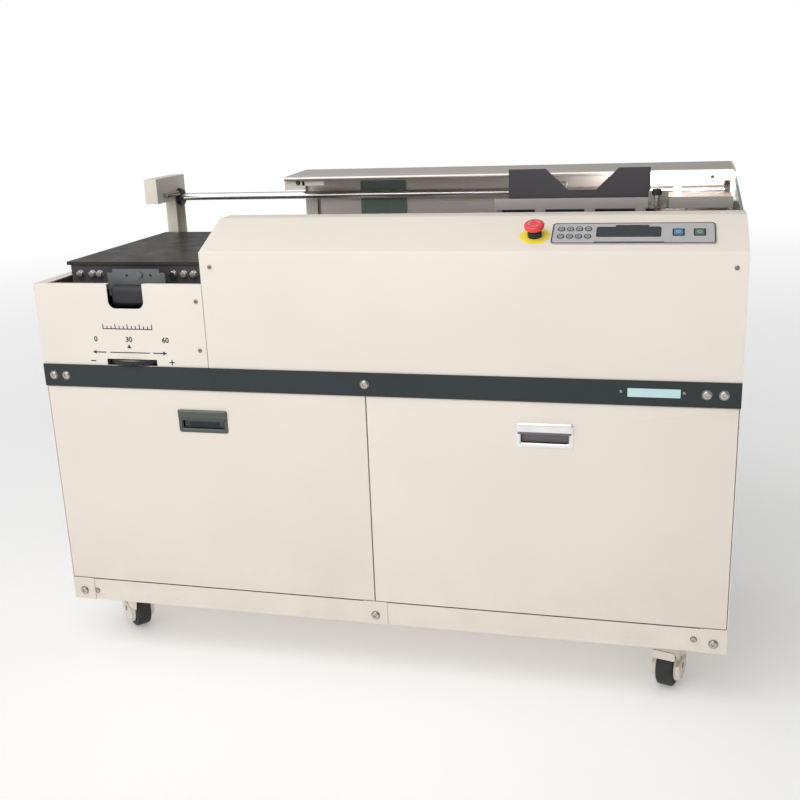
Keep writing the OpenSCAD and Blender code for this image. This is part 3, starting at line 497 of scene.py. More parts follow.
def build_sheet_metal():
    cover_folds = [(0, 0, Z_FOLD, COVER_BEND), (0, SLOPE_RUN, Z_CREST, COVER_BEND),
                   (0, SHELF_Y, Z_CREST, REAR_BEND)]
    soften("main_cover", "cream_paint", 0.4, cover_folds)
    soften("side_panels", "cream_paint", 0.4, cover_folds + [
        (1, 0, Z_RIM, RIM_BEND), (1, BODY_W, Z_FOLD, SIDE_BEND)])
    soften("station_front", "cream_paint", 0.4, [(0, 0, Z_RIM, RIM_BEND)])
    soften("base_frame", "cream_paint", 0.4)
    soften("rear_panels", "cream_paint", 0.4)
    soften("corner_brackets", "cream_paint", 0.5)
    soften("middle_band", "slate_paint", 0.8)
    for door in ("door_left", "door_right"):
        lo, hi = cabinet_box(door)
        soften(door, "cream_paint", 0.4, [
            (0, 0, hi.z, RIM_BEND), (2, lo.x, 0, RIM_BEND), (2, hi.x, 0, RIM_BEND)])
    soften("middle_deck", "zinc_plate", 0.3)
    soften("hood", "stainless", 0.3)
    soften("hood_ends", "cream_paint", 0.4)
    soften("rail_post", "cream_paint", 0.5)
    soften("head_block", "cream_paint", 0.9)
    soften("home_tray", "zinc_plate", 0.3)


def build_machined_parts():
    for node, finish, edge in MACHINED:
        soften(node, finish, edge)
    x, s, width, height = PANEL
    soften("control_panel", "panel_grey", 0.5, [
        (2, corner_x, corner_s, PANEL_CORNER) for corner_x in (x, x + width)
        for corner_s in (s, s + height)], on_slope(0, 0), PANEL_CORNER_STEPS)
    soften("stop_base", "slate_paint", 0.6)
    for number in range(1, 9):
        soften(f"key_{number}", "key_grey", 0.5)
    soften("blue_button", "blue_plastic", 0.8)
    soften("green_button", "green_plastic", 0.8)
    for corner in CORNERS:
        soften(f"caster_fork_{corner}", "cream_paint", 0.7)


# ---- Screws, rivets and plates ----

def socket_screw(where, radius, height):
    """A domed head with a hexagon socket, which stands on a washer."""
    head = turned([(radius * 0.78, 0.9), (radius * 0.78, height * 0.6),
                   (radius * 0.7, height * 0.85), (radius * 0.52, height)])
    socket = hexagon(radius * 0.36)
    return (where, head + [(socket, height), (socket, height * 0.4)])


def washer(where, radius):
    return (where, turned([(radius, 0), (radius, 0.8), (radius - 0.3, 1.1),
                           (radius * 0.5, 1.1)]))


def pan_screw(where, radius, height):
    """A low domed head with a cross recess."""
    head = turned([(radius, 0), (radius, height * 0.4), (radius * 0.85, height * 0.8),
                   (radius * 0.68, height)])
    recess = cross(radius * 0.5, radius * 0.16)
    return (where, head + [(recess, height), (recess, height * 0.3)])


def hex_bolt(where, radius, height):
    """A hexagon head on a washer, with its corners turned off."""
    flats = radius * math.cos(math.pi / 6)
    head = hexagon(flats * 0.92)
    return (where, turned([(radius, 0), (radius, 1)])
            + [(head, 1), (head, height - 0.8), (disc(flats * 0.85), height)])


def rivet(where, radius, height):
    return (where, turned([(radius, 0), (radius * 0.9, height * 0.5),
                           (radius * 0.5, height * 0.95), (radius * 0.15, height)]))


BAND_SCREW_X = (24, 55, 750, 1436, 1468)
BRACKET_SCREW_X = (27.5, 750, 1472.5)
BRACKET_SCREW_UP = 22
# These screws are given as x and z
RAIL_SCREWS = ((59.5, 153), (1433, 158))
COVER_SCREWS = ((385, 858), (384.5, 750.6), (423.6, 931.7), (1478.4, 933.3))
WIDE_WASHER, NARROW_WASHER, SOCKET_HEAD = 10, 7, 4.2
NIP_BOLT_X = (73, 103, 121, 300, 326, 349)
NIP_BOLT_BACK, NIP_BOLT_DOWN = 4, 28
RIVET_X, RIVET_Z = (119, 192, 266, 1226, 1299, 1373), 148
HOOD_SHEET, HOOD_END_SCREW_Y, HOOD_END_SCREW_Z = 2, 549, 1043
HOOD_BACK_SCREW_X, HOOD_BACK_SCREW_Z = 1454, 1046
REAR_SCREW_X = (30, 390, 750, 1110, 1470)
SIDE_SCREW_Y = (60, 320, 580)
PANEL_SCREW_Z = (Z_RAIL + 14, Z_TOP - 24)
# The side panels' screws are countersunk flush, so that the width stays the panels'
FLUSH = 0.02

# The flange on the hood's left end: its bolt as x and z, and its two leaves of sheet, each with
# its middle's x and z, its width, its height and its corners' radius
FLANGE_Y, FLANGE_SHEET = 475, 2
FLANGE_BOLT = (463, 1062)
FLANGE_LEAVES = ((455, 1057, 50, 24, 3), (502, 1060, 57, 11, 2))


def build_fasteners():
    table_lo, table_hi = cabinet_box("nip_table")
    places = [(front(x, BAND_FACE, (Z_BAND + Z_TOP) / 2), WIDE_WASHER) for x in BAND_SCREW_X]
    places += [(front(x, BRACKET_FACE, Z_PAN + BRACKET_SCREW_UP), WIDE_WASHER)
               for x in BRACKET_SCREW_X]
    places += [(front(x, 0, z), NARROW_WASHER) for x, z in RAIL_SCREWS]
    parts = [socket_screw(where, radius, SOCKET_HEAD) for where, radius in places]
    parts += [hex_bolt(front(x, table_lo.y + NIP_BOLT_BACK, table_hi.z - NIP_BOLT_DOWN), 9, 8)
              for x in NIP_BOLT_X]
    lofted("frame_screws_turned", "bright_steel", "cabinet", parts, ["frame_screws"])
    # The washers' darker steel is painted shade round the screw heads
    lofted("screw_washers", "steel_painted_shade", "cabinet", [washer(*place) for place in places])
    lofted("skirt_rivets", "cream_paint", "cabinet",
           [rivet(front(x, 0, RIVET_Z), 2.6, 1.1) for x in RIVET_X])
    # The cover's screws are darkened by a painted dark reflection
    lofted("cover_screws", "steel_painted_shade", "cabinet",
           [pan_screw(front(x, 0, z), 4.6, 2.4) for x, z in COVER_SCREWS])
    end_x = cabinet_box("hood_ends")[0].x
    back_in = cabinet_box("hood")[1].y - HOOD_SHEET
    bolt_x, bolt_z = FLANGE_BOLT
    lofted("hood_screws", "charcoal_paint", "cabinet",
           [pan_screw(facing(-Y, Z, end_x, HOOD_END_SCREW_Y, HOOD_END_SCREW_Z), 4.5, 2.2),
            pan_screw(front(HOOD_BACK_SCREW_X, back_in, HOOD_BACK_SCREW_Z), 4.5, 2.2),
            hex_bolt(front(bolt_x, FLANGE_Y, bolt_z), 5.5, 4)])
    lofted("panel_screws", "zinc_plate", "cabinet",
           [pan_screw(facing(-X, Z, x, BODY_D, z), 4.2, 2.2)
            for x in REAR_SCREW_X for z in PANEL_SCREW_Z])
    recess = cross(2.4, 0.7)
    sunk = turned([(4.4, -0.5), (4.4, -FLUSH)]) + [(recess, -FLUSH), (recess, -0.4)]
    lofted("side_screws", "zinc_plate", "cabinet", [
        (facing(way, Z, x, y, z), sunk) for way, x in ((-Y, -FLUSH), (Y, BODY_W + FLUSH))
        for y in SIDE_SCREW_Y for z in PANEL_SCREW_Z])


STUD_FRONT, STUD_BACK, STUD_Z = 505, 577, 1032
STUD_R, STUD_PITCH, THREAD_DEPTH = 6.5, 6, 1.4
ROD_FLANGE_T, ROD_FLANGE_WIDER, ROD_FLANGE_BEVEL = 6.5, 3, 1.5
# The dark strip in the gap under the doors, which paints its shadow: how much shorter than the
# body it is, how far back, how tall and how thick
SILL_SHADOW_SHORTER, SILL_SHADOW_FACE, SILL_SHADOW_W, SILL_SHADOW_T = 8, 1.9, 1.6, 0.7


def build_small_metal():
    """The flange on the hood's left end, the head's stud and flange, and a dark strip in the
    sill's gap that paints the shadow under the doors.
    """
    flange = front(0, FLANGE_Y + FLANGE_SHEET, 0)
    lofted("hood_flange", "cream_paint", "cabinet", [
        (flange, plate(width, height, corner, FLANGE_SHEET, dx=x, dy=z))
        for x, z, width, height, corner in FLANGE_LEAVES])
    head_right = cabinet_box("head_block")[1].x
    thread = [(STUD_R, 0)]
    for i in range(int((STUD_BACK - STUD_FRONT) / STUD_PITCH)):
        thread += [(STUD_R - THREAD_DEPTH, (i + 0.5) * STUD_PITCH),
                   (STUD_R, (i + 1) * STUD_PITCH)]
    stud = facing(Z, X, head_right + STUD_R + 0.5, STUD_FRONT, STUD_Z)
    lofted("head_stud", "bright_steel", "cabinet", [(stud, turned(thread, 24))])
    lo, hi = cabinet_box("rod_collars")
    rod_end = facing(Y, Z, head_right, (lo.y + hi.y) / 2, (lo.z + hi.z) / 2)
    rod_lo, rod_hi = cabinet_box("guide_rod")
    outer, bore = (hi.z - lo.z) / 2 + ROD_FLANGE_WIDER, (rod_hi.z - rod_lo.z) / 2 + 0.2
    lofted("rod_flange", "black_plastic", "cabinet", [(rod_end, turned([
        (bore, 0.1), (outer, 0.1), (outer, ROD_FLANGE_T - ROD_FLANGE_BEVEL),
        (outer - ROD_FLANGE_BEVEL, ROD_FLANGE_T), (bore, ROD_FLANGE_T)]), True)])
    # Painted shadow: a black strip in the gap under the doors
    lofted("sill_painted_shadow", "black_plastic", "cabinet", [
        (front(BODY_W / 2, SILL_SHADOW_FACE, Z_RAIL - 1),
         plate(BODY_W - SILL_SHADOW_SHORTER, SILL_SHADOW_W, 0.3, SILL_SHADOW_T, steps=2))])


# How much smaller the window's pane is on each side than its solid, and where the guards part
PANE_MARGIN = 9.5
GUARDS_PART_X = BODY_W * 0.8


def build_guards():
    """The guard sheets, with the window's pane just larger than its hole."""
    piece = soften("tinted_guards", "tinted_sheet", 0.5)
    margin = PANE_MARGIN * MM
    pane = [v for v in piece.data.vertices if v.co.x < at(GUARDS_PART_X, 0, 0).x]
    middle = sum((v.co for v in pane), Vector()) / len(pane)
    for v in pane:
        v.co.x -= math.copysign(margin, v.co.x - middle.x)
        v.co.z -= math.copysign(margin, v.co.z - middle.z)


# The gauge's knob, in radii: its cap and its stem's top measured down from the top, and the
# stem's foot measured up from the bottom
KNOB_CAP = ((8.5, 13), (10, 12), (10, 2.5), (8.6, 0.6), (6, 0))
STEM_FOOT = ((4, 0), (4, 7.3), (7, 7.3), (7, 11), (4, 11))
STEM_TOP = ((4, 20), (5.5, 19), (5.5, 13))


def build_gauge_knob():
    lo, hi = cabinet_box("gauge_knob")
    where = facing(X, Y, (lo.x + hi.x) / 2, (lo.y + hi.y) / 2, 0)
    cap = turned([(radius, hi.z - down) for radius, down in KNOB_CAP])
    stem = turned([(radius, lo.z + up) for radius, up in STEM_FOOT]
                  + [(radius, hi.z - down) for radius, down in STEM_TOP])
    lofted("gauge_knob_cap", "black_plastic", "gauge_knob", [(where, cap)], ["gauge_knob"])
    lofted("gauge_knob_stem", "bright_steel", "gauge_knob", [(where, stem)])


PLATE_X, PLATE_Z = (1286, 1387), (679, 696.5)
PLATE_SCREW_X, PLATE_SCREW_Z = (1274, 1394), 689


def build_rating_plate():
    middle = front(sum(PLATE_X) / 2, BAND_FACE, sum(PLATE_Z) / 2)
    lofted("rating_plate", "aqua_plate", "cabinet",
           [(middle, plate(PLATE_X[1] - PLATE_X[0], PLATE_Z[1] - PLATE_Z[0], 1.5, 0.8))])
    lofted("rating_screws", "zinc_plate", "cabinet",
           [pan_screw(front(x, BAND_FACE, PLATE_SCREW_Z), 3.4, 1.8) for x in PLATE_SCREW_X])


# ---- Print on the station: a plain scale with numbers, an index and arrows ----

INK = 0.12
STROKE, BOLD_STROKE = 2.2, 2.6
SCALE_X, SCALE_Z, SCALE_TICKS = (159, 276), 795, 13
LONG_TICK, SHORT_TICK = 11, 7
INDEX_X, INDEX_Z = 217, 752
# The line below the index, the arrows at its ends and the tips of those
LINE_Z, LINE_W = 742, 96
ARROW_X, ARROW_W = (148, 285), 24
TIP_LONG, TIP_HALF = 9, 4.6
MINUS_X, PLUS_X, SIGN_Z, SIGN_W = 126, 316, 722, 12
NUMBERS = ((138, "0"), (218, "30"), (305, "60"))
NUMBER_Z, NUMBER_SIZE, NUMBER_BOLDER = 771, 16, 0.5


def bar(x, z, width, height):
    return (front(x, 0, z), plate(width, height, 0.3, INK, 0.04, steps=2))


def pointer(x, z, points):
    return (front(x, 0, z), [(points, 0), (points, INK)])


def build_station_print():
    width = SCALE_X[1] - SCALE_X[0]
    step = width / (SCALE_TICKS - 1)
    parts = [bar(sum(SCALE_X) / 2, SCALE_Z, width + STROKE, STROKE)]
    for i in range(SCALE_TICKS):
        tall = LONG_TICK if i % 3 == 0 else SHORT_TICK
        parts.append(bar(SCALE_X[0] + i * step, SCALE_Z + tall / 2, STROKE, tall))
    parts.append(bar(INDEX_X, LINE_Z, LINE_W, STROKE))
    for x, way in zip(ARROW_X, (-1, 1)):
        parts.append(bar(x, LINE_Z, ARROW_W, BOLD_STROKE))
        parts.append(pointer(x + way * ARROW_W / 2, LINE_Z, [
            (0, -TIP_HALF * way), (TIP_LONG * way, 0), (0, TIP_HALF * way)]))
    parts.append(pointer(INDEX_X, INDEX_Z, [(-5, 0), (5, 0), (0, 9)]))
    parts.append(bar(MINUS_X, SIGN_Z, SIGN_W, BOLD_STROKE))
    parts.append(bar(PLUS_X, SIGN_Z, SIGN_W, BOLD_STROKE))
    parts.append(bar(PLUS_X, SIGN_Z, BOLD_STROKE, SIGN_W))
    lofted("station_scale", "dark_ink", "cabinet", parts)
    for x, words in NUMBERS:
        curve = bpy.data.curves.new(f"station_number_{words}", "FONT")
        curve.body = words
        curve.size = NUMBER_SIZE * MM
        curve.extrude = INK / 2 * MM
        curve.offset = NUMBER_BOLDER * MM
        curve.align_x = "CENTER"
        curve.align_y = "CENTER"
        curve.materials.append(TRIM["dark_ink"])
        number = bpy.data.objects.new(f"station_number_{words}", curve)
        SCENE.collection.objects.link(number)
        number.matrix_world = front(x, -INK / 2, NUMBER_Z)
        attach(number, "cabinet")


# ---- Handles: a rounded frame, a deep pocket and a lip to pull on ----

# Both handles are the same chrome pull. The left one's darker finish is a painted dark
# reflection, and each pocket's colour is painted shade in its recess.
HANDLE_LOOKS = (("left", "left_door", "chrome_painted_dark_reflection", "pocket_painted_shade_left"),
                ("right", "right_door", "chrome", "pocket_painted_shade_right"))
# The rim's thickness, the frame's width and the lip's height
HANDLE_RIM, HANDLE_EDGE, LIP_H = 1.5, 7, 20
# The lip's rings, each as how far it is drawn in and how far it stands above the rim's middle
LIP_RINGS = ((0.3, 0), (0, 0.6), (0, 1.4), (0.8, 2.6), (2.6, 3.7))
SLOT_H, SLOT_UP, SLOT_NARROWER, POCKET_FLOOR = 11, 10, 44, -7


def build_handles():
    rim, edge = HANDLE_RIM, HANDLE_EDGE
    for door, body, finish, pocket_shade in HANDLE_LOOKS:
        node = f"handle_{door}"
        lo, hi = cabinet_box(node)
        width, height, depth, proud = hi.x - lo.x, hi.z - lo.z, hi.y, -lo.y
        middle = front((lo.x + hi.x) / 2, 0, (lo.z + hi.z) / 2)

        def rings(section):
            """Rings from (inset, corner's radius, height)."""
            return [(round_rect(width - 2 * inset, height - 2 * inset, corner), n)
                    for inset, corner, n in section]

        frame_rings = rings([
            (9.6, 3, -depth), (9.6, 3, -1), (0, 6, 0), (0, 6, rim * 0.5), (0.8, 5.4, rim),
            (edge, 5, rim), (edge + 1.2, 4, rim * 0.2), (edge + 2, 3.5, -depth + 1.5)])
        # The pocket's lining, whose colour paints the shade in the recess
        lining = rings([
            (edge + 2.1, 3.4, -7.6), (edge + 2.1, 3.4, -0.6), (edge + 2.6, 3, -0.6),
            (edge + 2.6, 3, POCKET_FLOOR)])
        lift = (height - LIP_H) / 2
        lip = [(round_rect(width - 2 * i, LIP_H - 2 * i, 4, dy=lift), rim * 0.5 + n)
               for i, n in LIP_RINGS]
        lip.append((round_rect(width - 11, LIP_H - 11, 3, dy=lift), proud))
        # A dark strip just under the lip: painted shadow and dark reflection beneath it
        line = round_rect(width - 7, 4.4, 1, dy=lift - LIP_H / 2 - 1.2)
        lofted(f"{node}_frame", finish, body, [(middle, frame_rings)], [node])
        lofted(f"{node}_lip", finish, body, [(middle, lip)])
        lofted(f"{node}_lip_painted_shadow", pocket_shade, body,
               [(middle, slab(lambda inset: line, 2.4, 0.3, rim * 0.9))])
        lofted(f"{node}_lining", pocket_shade, body, [(middle, lining)])
        if door == "left":
            # A dark plate on the pocket's floor paints the shade in the left handle's slot
            slot = plate(width - SLOT_NARROWER, SLOT_H, 3, 0.3, 0.1, POCKET_FLOOR,
                         dy=SLOT_UP + edge - height / 2)
            lofted(f"{node}_slot_painted_shade", "slate_paint", body, [(middle, slot)])


# ---- Control panel and emergency stop ----

PANEL_T = 3
KEY_X = (1149, 1166.4, 1183.8, 1201.2)
KEY_S = (77.2, 49.8)
KEY_TOP = 4.6
DISPLAY, DISPLAY_STRIP, LEGEND_BAR = (1278.5, 67), (1285, 87.5), (1280, 30.4)
BUTTON_X = (1372, 1411)
BUTTON_S = 64.5
BUTTON_HALF = 10
STOP = (1098, 58.5)
# The stop's head as radii and heights out of the slope, and its arrows' radius and end angle
STOP_HEAD = (
    (6, -14), (6, 16.4), (15, 16.6), (17.2, 17), (18.8, 18.6), (20, 22), (20, 24.6),
    (19.3, 26.4), (17.4, 27.7), (14.6, 28.3), (13.8, 28.1), (13.2, 28.3), (8, 27.9), (3, 27.7))
ARC_R, ARC_END, ARC_STEPS = 10.4, 1.25, 8
ARC_FOOT, ARC_TOP = 27.6, 28.4


def on_panel(x, s):
    return on_slope(x, s, PANEL_T)


def build_panel_trim():
    x, s, width, height = PANEL
    middle = on_panel(x + width / 2, s + height / 2)
    lofted("panel_border", "dark_ink", "cabinet", [
        (middle, frame_ring(round_rect(width - 1, height - 1, 7.8),
                            round_rect(width - 5.4, height - 5.4, 6), 0.15), True)])
    lofted("panel_display", "display_glass", "cabinet", [
        (on_panel(*DISPLAY), plate(123, 37, 4, 0.6)),
        (on_panel(*DISPLAY_STRIP), plate(64, 9, 3, 0.5))])
    places = [(key_x, key_s) for key_s in KEY_S for key_x in KEY_X]
    for number, (key_x, key_s) in enumerate(places, 1):
        where = on_slope(key_x, key_s, KEY_TOP)
        mark = where @ Matrix.Rotation(math.radians(35), 4, "Z")
        lofted(f"key_print_{number}", "dark_ink", f"key_{number}", [
            (where, frame_ring(round_rect(13.2, 15.7, 6.6), round_rect(9.6, 12.1, 4.8), 0.12),
             True),
            (mark, slab(lambda i: round_rect(6 - 2 * i, 1.8, 0.8), INK, 0.03))])
    frames = [(on_panel(button_x, BUTTON_S), frame_ring(
        round_rect(22.4, 25.4, 3), round_rect(17.8, 20.8, 1), 0.9), True)
        for button_x in BUTTON_X]
    for button, button_x in zip(("blue", "green"), BUTTON_X):
        # The top of the button's box is its face's upper edge, half its height up the slope
        top = cabinet_box(f"{button}_button")[1].z
        rise = (at(0, 0, top) - on_slope(button_x, BUTTON_S).translation).z / MM
        rise = rise / math.cos(SLOPE) - BUTTON_HALF * math.tan(SLOPE)
        face = on_slope(button_x, BUTTON_S, rise)
        lofted(f"{button}_button_mark", "hub_nylon", f"{button}_button", [
            (face, frame_ring(disc(4.6, 24), disc(3.2, 24), 0.15, -0.05), True),
            (face, slab(lambda i: round_rect(1.6, 5, 0.7, 3, dy=2.5), 0.15, 0.03, -0.05))])
    frames.append((on_panel(*LEGEND_BAR),
                   slab(lambda i: round_rect(132 - 2 * i, 2.4, 0.5), 0.15)))
    lofted("button_frames", "dark_ink", "cabinet", frames)


def build_stop():
    lofted("stop_label", "yellow_label", "cabinet", [
        (on_slope(*STOP), frame_ring(disc(30), disc(14.2), 0.6), True)])
    head = [(on_slope(*STOP), turned(STOP_HEAD))]
    lofted("stop_head_turned", "red_plastic", "stop_head", head, ["stop_head"])

    def on_arc(radius, turn):
        return (radius * math.cos(turn), radius * math.sin(turn))

    arc = [ARC_END * i / ARC_STEPS for i in range(ARC_STEPS + 1)]
    outer = [on_arc(ARC_R + 1, turn) for turn in arc]
    inner = [on_arc(ARC_R - 1, turn) for turn in arc]
    tip = [on_arc(ARC_R + out, ARC_END + on) for out, on in ((2.4, 0), (0, 0.32), (-2.4, 0))]
    outline = outer + tip + inner[::-1]
    arrows = [(on_slope(*STOP) @ Matrix.Rotation(math.tau * third / 3, 4, "Z"),
               [(outline, ARC_FOOT), (outline, ARC_TOP)]) for third in range(3)]
    lofted("stop_arrows", "hub_nylon", "stop_head", arrows)


# ---- Thumbwheel ----

WHEEL_TEETH, TOOTH_DEPTH, WHEEL_T, WHEEL_BEVEL = 90, 1.0, 10, 1.2
WHEEL_BORE, WHEEL_HUB, WHEEL_WEB = 4.05, 8, 20
# How far in from the teeth's tips the bright rim starts and ends
RIM_OUT, RIM_IN = 3, 16


def build_thumbwheel():
    lo, hi = cabinet_box("thumbwheel")
    where = facing(X, Y, (lo.x + hi.x) / 2, (lo.y + hi.y) / 2, 0)
    radius = (hi.x - lo.x) / 2
    count = WHEEL_TEETH * 4
    face = lo.z + WHEEL_T

    def knurl(inset):
        depths = (0, 0, TOOTH_DEPTH, TOOTH_DEPTH)
        return [((radius - inset - depths[i % 4]) * math.cos(math.tau * i / count),
                 (radius - inset - depths[i % 4]) * math.sin(math.tau * i / count))
                for i in range(count)]

    bore, hub, web = (disc(r, count) for r in (WHEEL_BORE, WHEEL_HUB, WHEEL_WEB))
    rings = [(bore, lo.z), (web, lo.z), (knurl(WHEEL_BEVEL), lo.z),
             (knurl(0), lo.z + WHEEL_BEVEL), (knurl(0), face - WHEEL_BEVEL),
             (knurl(WHEEL_BEVEL), face), (hub, face), (hub, hi.z), (bore, hi.z)]
    lofted("thumbwheel_knurled", "black_plastic", "thumbwheel", [(where, rings, True)],
           ["thumbwheel"])
    rim = frame_ring(disc(radius - RIM_OUT, count), disc(radius - RIM_IN, count), 0.4, face)
    lofted("thumbwheel_rim", "bright_steel", "thumbwheel", [(where, rim, True)])


# ---- Casters: tyre, hub and brake lever ----

def joint_line(name):
    """A joint's place, and its axis as a unit vector."""
    joint = next(j for j in frame["joints"] if j["name"] == name)
    return Vector(joint["pos_m"]), Vector(joint["axis"]).normalized()


def axle_place(joint_name):
    """A place at a wheel's centre, with its normal along the axle."""
    centre, axle = joint_line(joint_name)
    return placed(Z.cross(axle), Z, Z.cross(axle).cross(Z), centre)


AXLE_REACH, AXLE_HEAD = 32.5, 1.8
AXLE_R, AXLE_NUT = 6, 5.4
# Halves of the tyre's and the hub's sections, as radii and distances from the middle
TYRE_HALF = (
    (33, 13.5), (36, 15.5), (43, 16.8), (46.5, 17), (48.6, 15.6), (49.7, 12.5), (50, 7))
TYRE_SEAT = ((32, 12), (32, -12))
HUB_HALF = ((6.1, 16.5), (13, 16.5), (14, 15.5), (16, 10), (28, 9), (31.9, 12.5))
WHEEL_POINTS = 72
# The forks' covers: their bore, their radius and the height that they are cut off at, and their
# section as how far the edge is drawn in and how far out from the wheel's middle
COVER_BORE, COVER_R, COVER_CUT = 7.2, 34, 11
COVER_SECTION = ((0, 22.1), (0, 27), (1, 29.4), (3.4, 31))


def mirrored(half):
    """A whole section of a wheel from one half of it."""
    return [(r, -w) for r, w in half] + [(r, w) for r, w in reversed(half)]


def build_wheel(corner):
    where = axle_place(f"roll_{corner}")
    body = f"wheel_{corner}"
    tyre = turned(mirrored(TYRE_HALF) + list(TYRE_SEAT), WHEEL_POINTS)
    lofted(f"caster_tyre_{corner}", "tread", body, [(where, tyre, True)],
           [f"caster_wheel_{corner}"], 40)
    hub = turned(mirrored(HUB_HALF), WHEEL_POINTS)
    lofted(f"caster_hub_{corner}", "hub_nylon", body, [(where, hub, True)])
    nut, pin, inner = hexagon(AXLE_NUT), disc(AXLE_R), AXLE_REACH - AXLE_HEAD
    axle = [(nut, -AXLE_REACH), (nut, -inner), (pin, -inner), (pin, inner), (nut, inner),
            (nut, AXLE_REACH)]
    lofted(f"caster_axle_{corner}", "zinc_plate", body, [(where, axle)])


def build_fork_covers(corner):
    """A pressed cover on the outside of each cheek, cut off below the lever's arms."""
    where = axle_place(f"roll_{corner}")
    bore = disc(COVER_BORE, WHEEL_POINTS)

    def cover(inset):
        return [(u, min(v, COVER_CUT - inset)) for u, v in disc(COVER_R - inset, WHEEL_POINTS)]

    for side, way in (("in", 1), ("out", -1)):
        rings = [(cover(inset), out * way) for inset, out in COVER_SECTION]
        rings = [(bore, rings[0][1])] + rings + [(bore, rings[-1][1])]
        lofted(f"fork_cover_{corner}_{side}", "cream_paint", f"caster_{corner}",
               [(where, rings, True)], sharp=30)


# The levers' treads: their slope's run and fall, their middle behind and above the pivot, the
# ribs' places down the slope and the apron's place behind the pivot
TREAD_RUN, TREAD_FALL = 18, 21
TREAD_BACK, TREAD_UP = 25, 37.5
RIB_W, RIB_T, RIB_PLACES = 38, 2.4, (-8, 0, 8)
APRON_BACK, APRON_W, APRON_H, APRON_UP = 34, 46, 18, 17


def build_pedals():
    """The levers, with three ribs for the foot on each tread."""
    for side in ("l", "r"):
        soften(f"brake_pedal_{side}", "cream_paint", 0.6)
        pivot, axle = joint_line(f"pedal_{side}_tread")
        trail = Z.cross(axle)
        slope = (trail * TREAD_RUN - Z * TREAD_FALL).normalized()
        tread = placed(axle, slope, axle.cross(slope),
                       pivot + (trail * TREAD_BACK + Z * TREAD_UP) * MM)
        apron = placed(axle, Z, axle.cross(Z), pivot + trail * APRON_BACK * MM)
        lofted(f"pedal_ribs_{side}", "cream_paint", f"pedal_{side}", [
            (tread, plate(RIB_W, RIB_T, 1, 1.0, 0.3, steps=3, dy=down)) for down in RIB_PLACES])
        lofted(f"pedal_apron_{side}", "cream_paint", f"pedal_{side}", [
            (apron, plate(APRON_W, APRON_H, 4, -2.4, -0.4, dy=APRON_UP))])


# ---- Room, light and camera ----

AMBIENT = 0.41
# How much darker the studio grows towards the right, the back and the floor
FALL_OFF = (0.34, 0.2, -0.16)


def studio():
    """A white room to look at, whose light comes mostly from the left and the front."""
    world = bpy.data.worlds.new("studio")
    world.use_nodes = True
    nodes, links = world.node_tree.nodes, world.node_tree.links
    light = nodes["Background"]
    side = nodes.new("ShaderNodeTexCoord")
    across = nodes.new("ShaderNodeVectorMath")
    across.operation = "DOT_PRODUCT"
    across.inputs[1].default_value = [-fall for fall in FALL_OFF]
    strength = nodes.new("ShaderNodeMath")
    strength.operation = "ADD"
    strength.inputs[1].default_value = AMBIENT
    seen = nodes.new("ShaderNodeBackground")
    ray = nodes.new("ShaderNodeLightPath")
    mix = nodes.new("ShaderNodeMixShader")
    light.inputs["Color"].default_value = seen.inputs["Color"].default_value = (1, 1, 1, 1)
    links.new(side.outputs["Generated"], across.inputs[0])
    links.new(across.outputs["Value"], strength.inputs[0])
    links.new(strength.outputs["Value"], light.inputs["Strength"])
    links.new(ray.outputs["Is Camera Ray"], mix.inputs["Fac"])
    links.new(light.outputs["Background"], mix.inputs[1])
    links.new(seen.outputs["Background"], mix.inputs[2])
    links.new(mix.outputs["Shader"], nodes["World Output"].inputs["Surface"])
    return world


FLOOR_SIZE = 30
# The floor's own glow near the machine and far from it, and how far these two are, in metres
FLOOR_GLOW, FLOOR_FADE = (0.24, 0.64), (1.2, 9)


def build_stage():
    bpy.ops.mesh.primitive_plane_add(size=FLOOR_SIZE, location=(0, 0, 0))
    floor = bpy.context.object
    floor.name = "floor"
    f = Finish("floor", (232, 232, 232), 0.0, 0.8, Emission_Color=(1, 1, 1, 1))
    away = f.add("ShaderNodeVectorMath")
    away.operation = "LENGTH"
    f.link(f.coordinates, away.inputs[0])
    glow = f.spread(away.outputs["Value"], *FLOOR_GLOW, *FLOOR_FADE)
    f.link(glow, f.shader.inputs["Emission Strength"])
    floor.data.materials.append(f.drift(None, 0.8, 0.01).gloss(f.noise(4)).done())
    SCENE.world = studio()


def add_light(name, place, target, size, power):
    data = bpy.data.lights.new(name, "AREA")
    data.shape = "RECTANGLE"
    data.size, data.size_y = size
    data.energy = power
    lamp = bpy.data.objects.new(name, data)
    lamp.location = place
    lamp.rotation_euler = (Vector(target) - Vector(place)).to_track_quat("-Z", "Y").to_euler()
    SCENE.collection.objects.link(lamp)
    return lamp


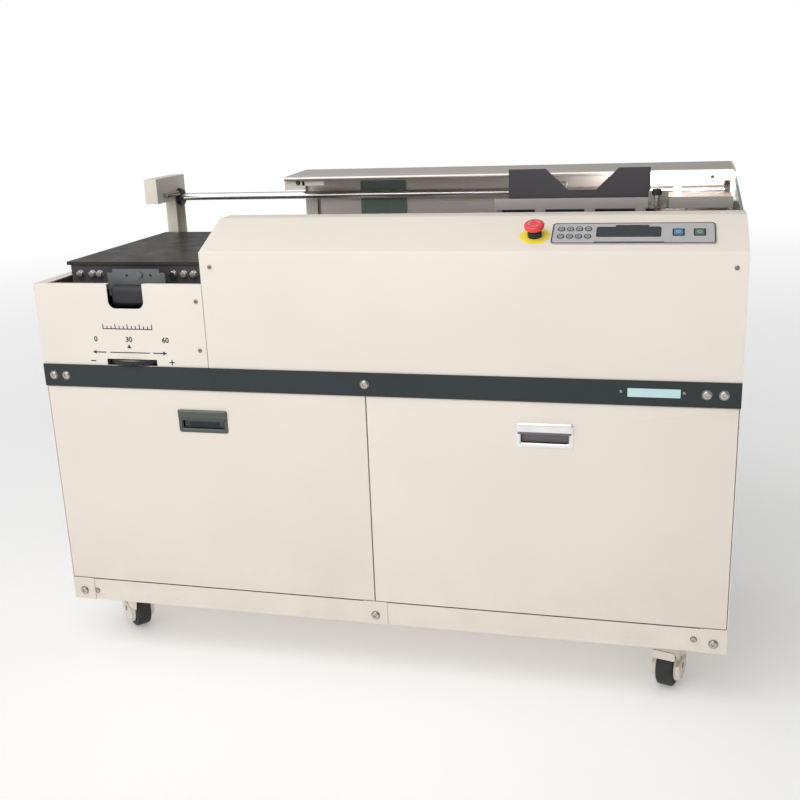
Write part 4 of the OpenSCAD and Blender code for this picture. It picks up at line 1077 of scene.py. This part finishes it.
# Each light's name, place and target in the frame's metres, size in metres and power in watts
KEY_LIGHT = ("key", (-1.5, -3.8, 2.2), (0, 0, 0.8), (2.6, 1.5), 17.5)
TOP_LIGHT = ("top", (-0.5, -1.5, 2.9), (0, 0, 0.7), (2.6, 1.8), 30)
HOOD_LAMP_SIZE, HOOD_LAMP_POWER = (0.24, 0.04), 1.0


def build_lights():
    add_light(*KEY_LIGHT)
    add_light(*TOP_LIGHT)
    # A small lamp over the cover's crest brings out the hood's right end
    hood_y = at(0, cabinet_box("hood")[1].y, 0).y
    lamp = add_light("hood_lamp", (0.61, hood_y - 0.25, 1.045), (0.63, hood_y, 1.03),
                     HOOD_LAMP_SIZE, HOOD_LAMP_POWER)
    lamp.visible_camera = False


# The camera, fitted to the photo: its place in cabinet millimetres, its angles and its lens
CAMERA_PLACE = (1341.0, -2001.5, 1268.9)
CAMERA_YAW = math.radians(14.467)
CAMERA_PITCH = math.radians(16.542)
CAMERA_ROLL = math.radians(-2.214)
FOCAL_PX = 1037.5
IMAGE_PX = 800
SENSOR_MM = 36


def build_camera():
    data = bpy.data.cameras.new("camera")
    data.sensor_width = SENSOR_MM
    data.lens = FOCAL_PX / IMAGE_PX * SENSOR_MM
    camera = bpy.data.objects.new("camera", data)
    look = Vector((-math.sin(CAMERA_YAW) * math.cos(CAMERA_PITCH),
                   math.cos(CAMERA_YAW) * math.cos(CAMERA_PITCH), -math.sin(CAMERA_PITCH)))
    level = Vector((math.cos(CAMERA_YAW), math.sin(CAMERA_YAW), 0))
    upright = level.cross(look)
    right = math.cos(CAMERA_ROLL) * level + math.sin(CAMERA_ROLL) * upright
    up = -math.sin(CAMERA_ROLL) * level + math.cos(CAMERA_ROLL) * upright
    camera.matrix_world = placed(right, up, -look, at(*CAMERA_PLACE))
    SCENE.collection.objects.link(camera)
    SCENE.camera = camera


build_sheet_metal()
build_machined_parts()
build_fasteners()
build_small_metal()
build_guards()
build_gauge_knob()
build_rating_plate()
build_station_print()
build_handles()
build_panel_trim()
build_stop()
build_thumbwheel()
for wheel_corner in CORNERS:
    build_wheel(wheel_corner)
    build_fork_covers(wheel_corner)
build_pedals()
build_stage()
build_lights()
build_camera()
SCENE.view_settings.view_transform = "Standard"

bpy.context.view_layer.update()
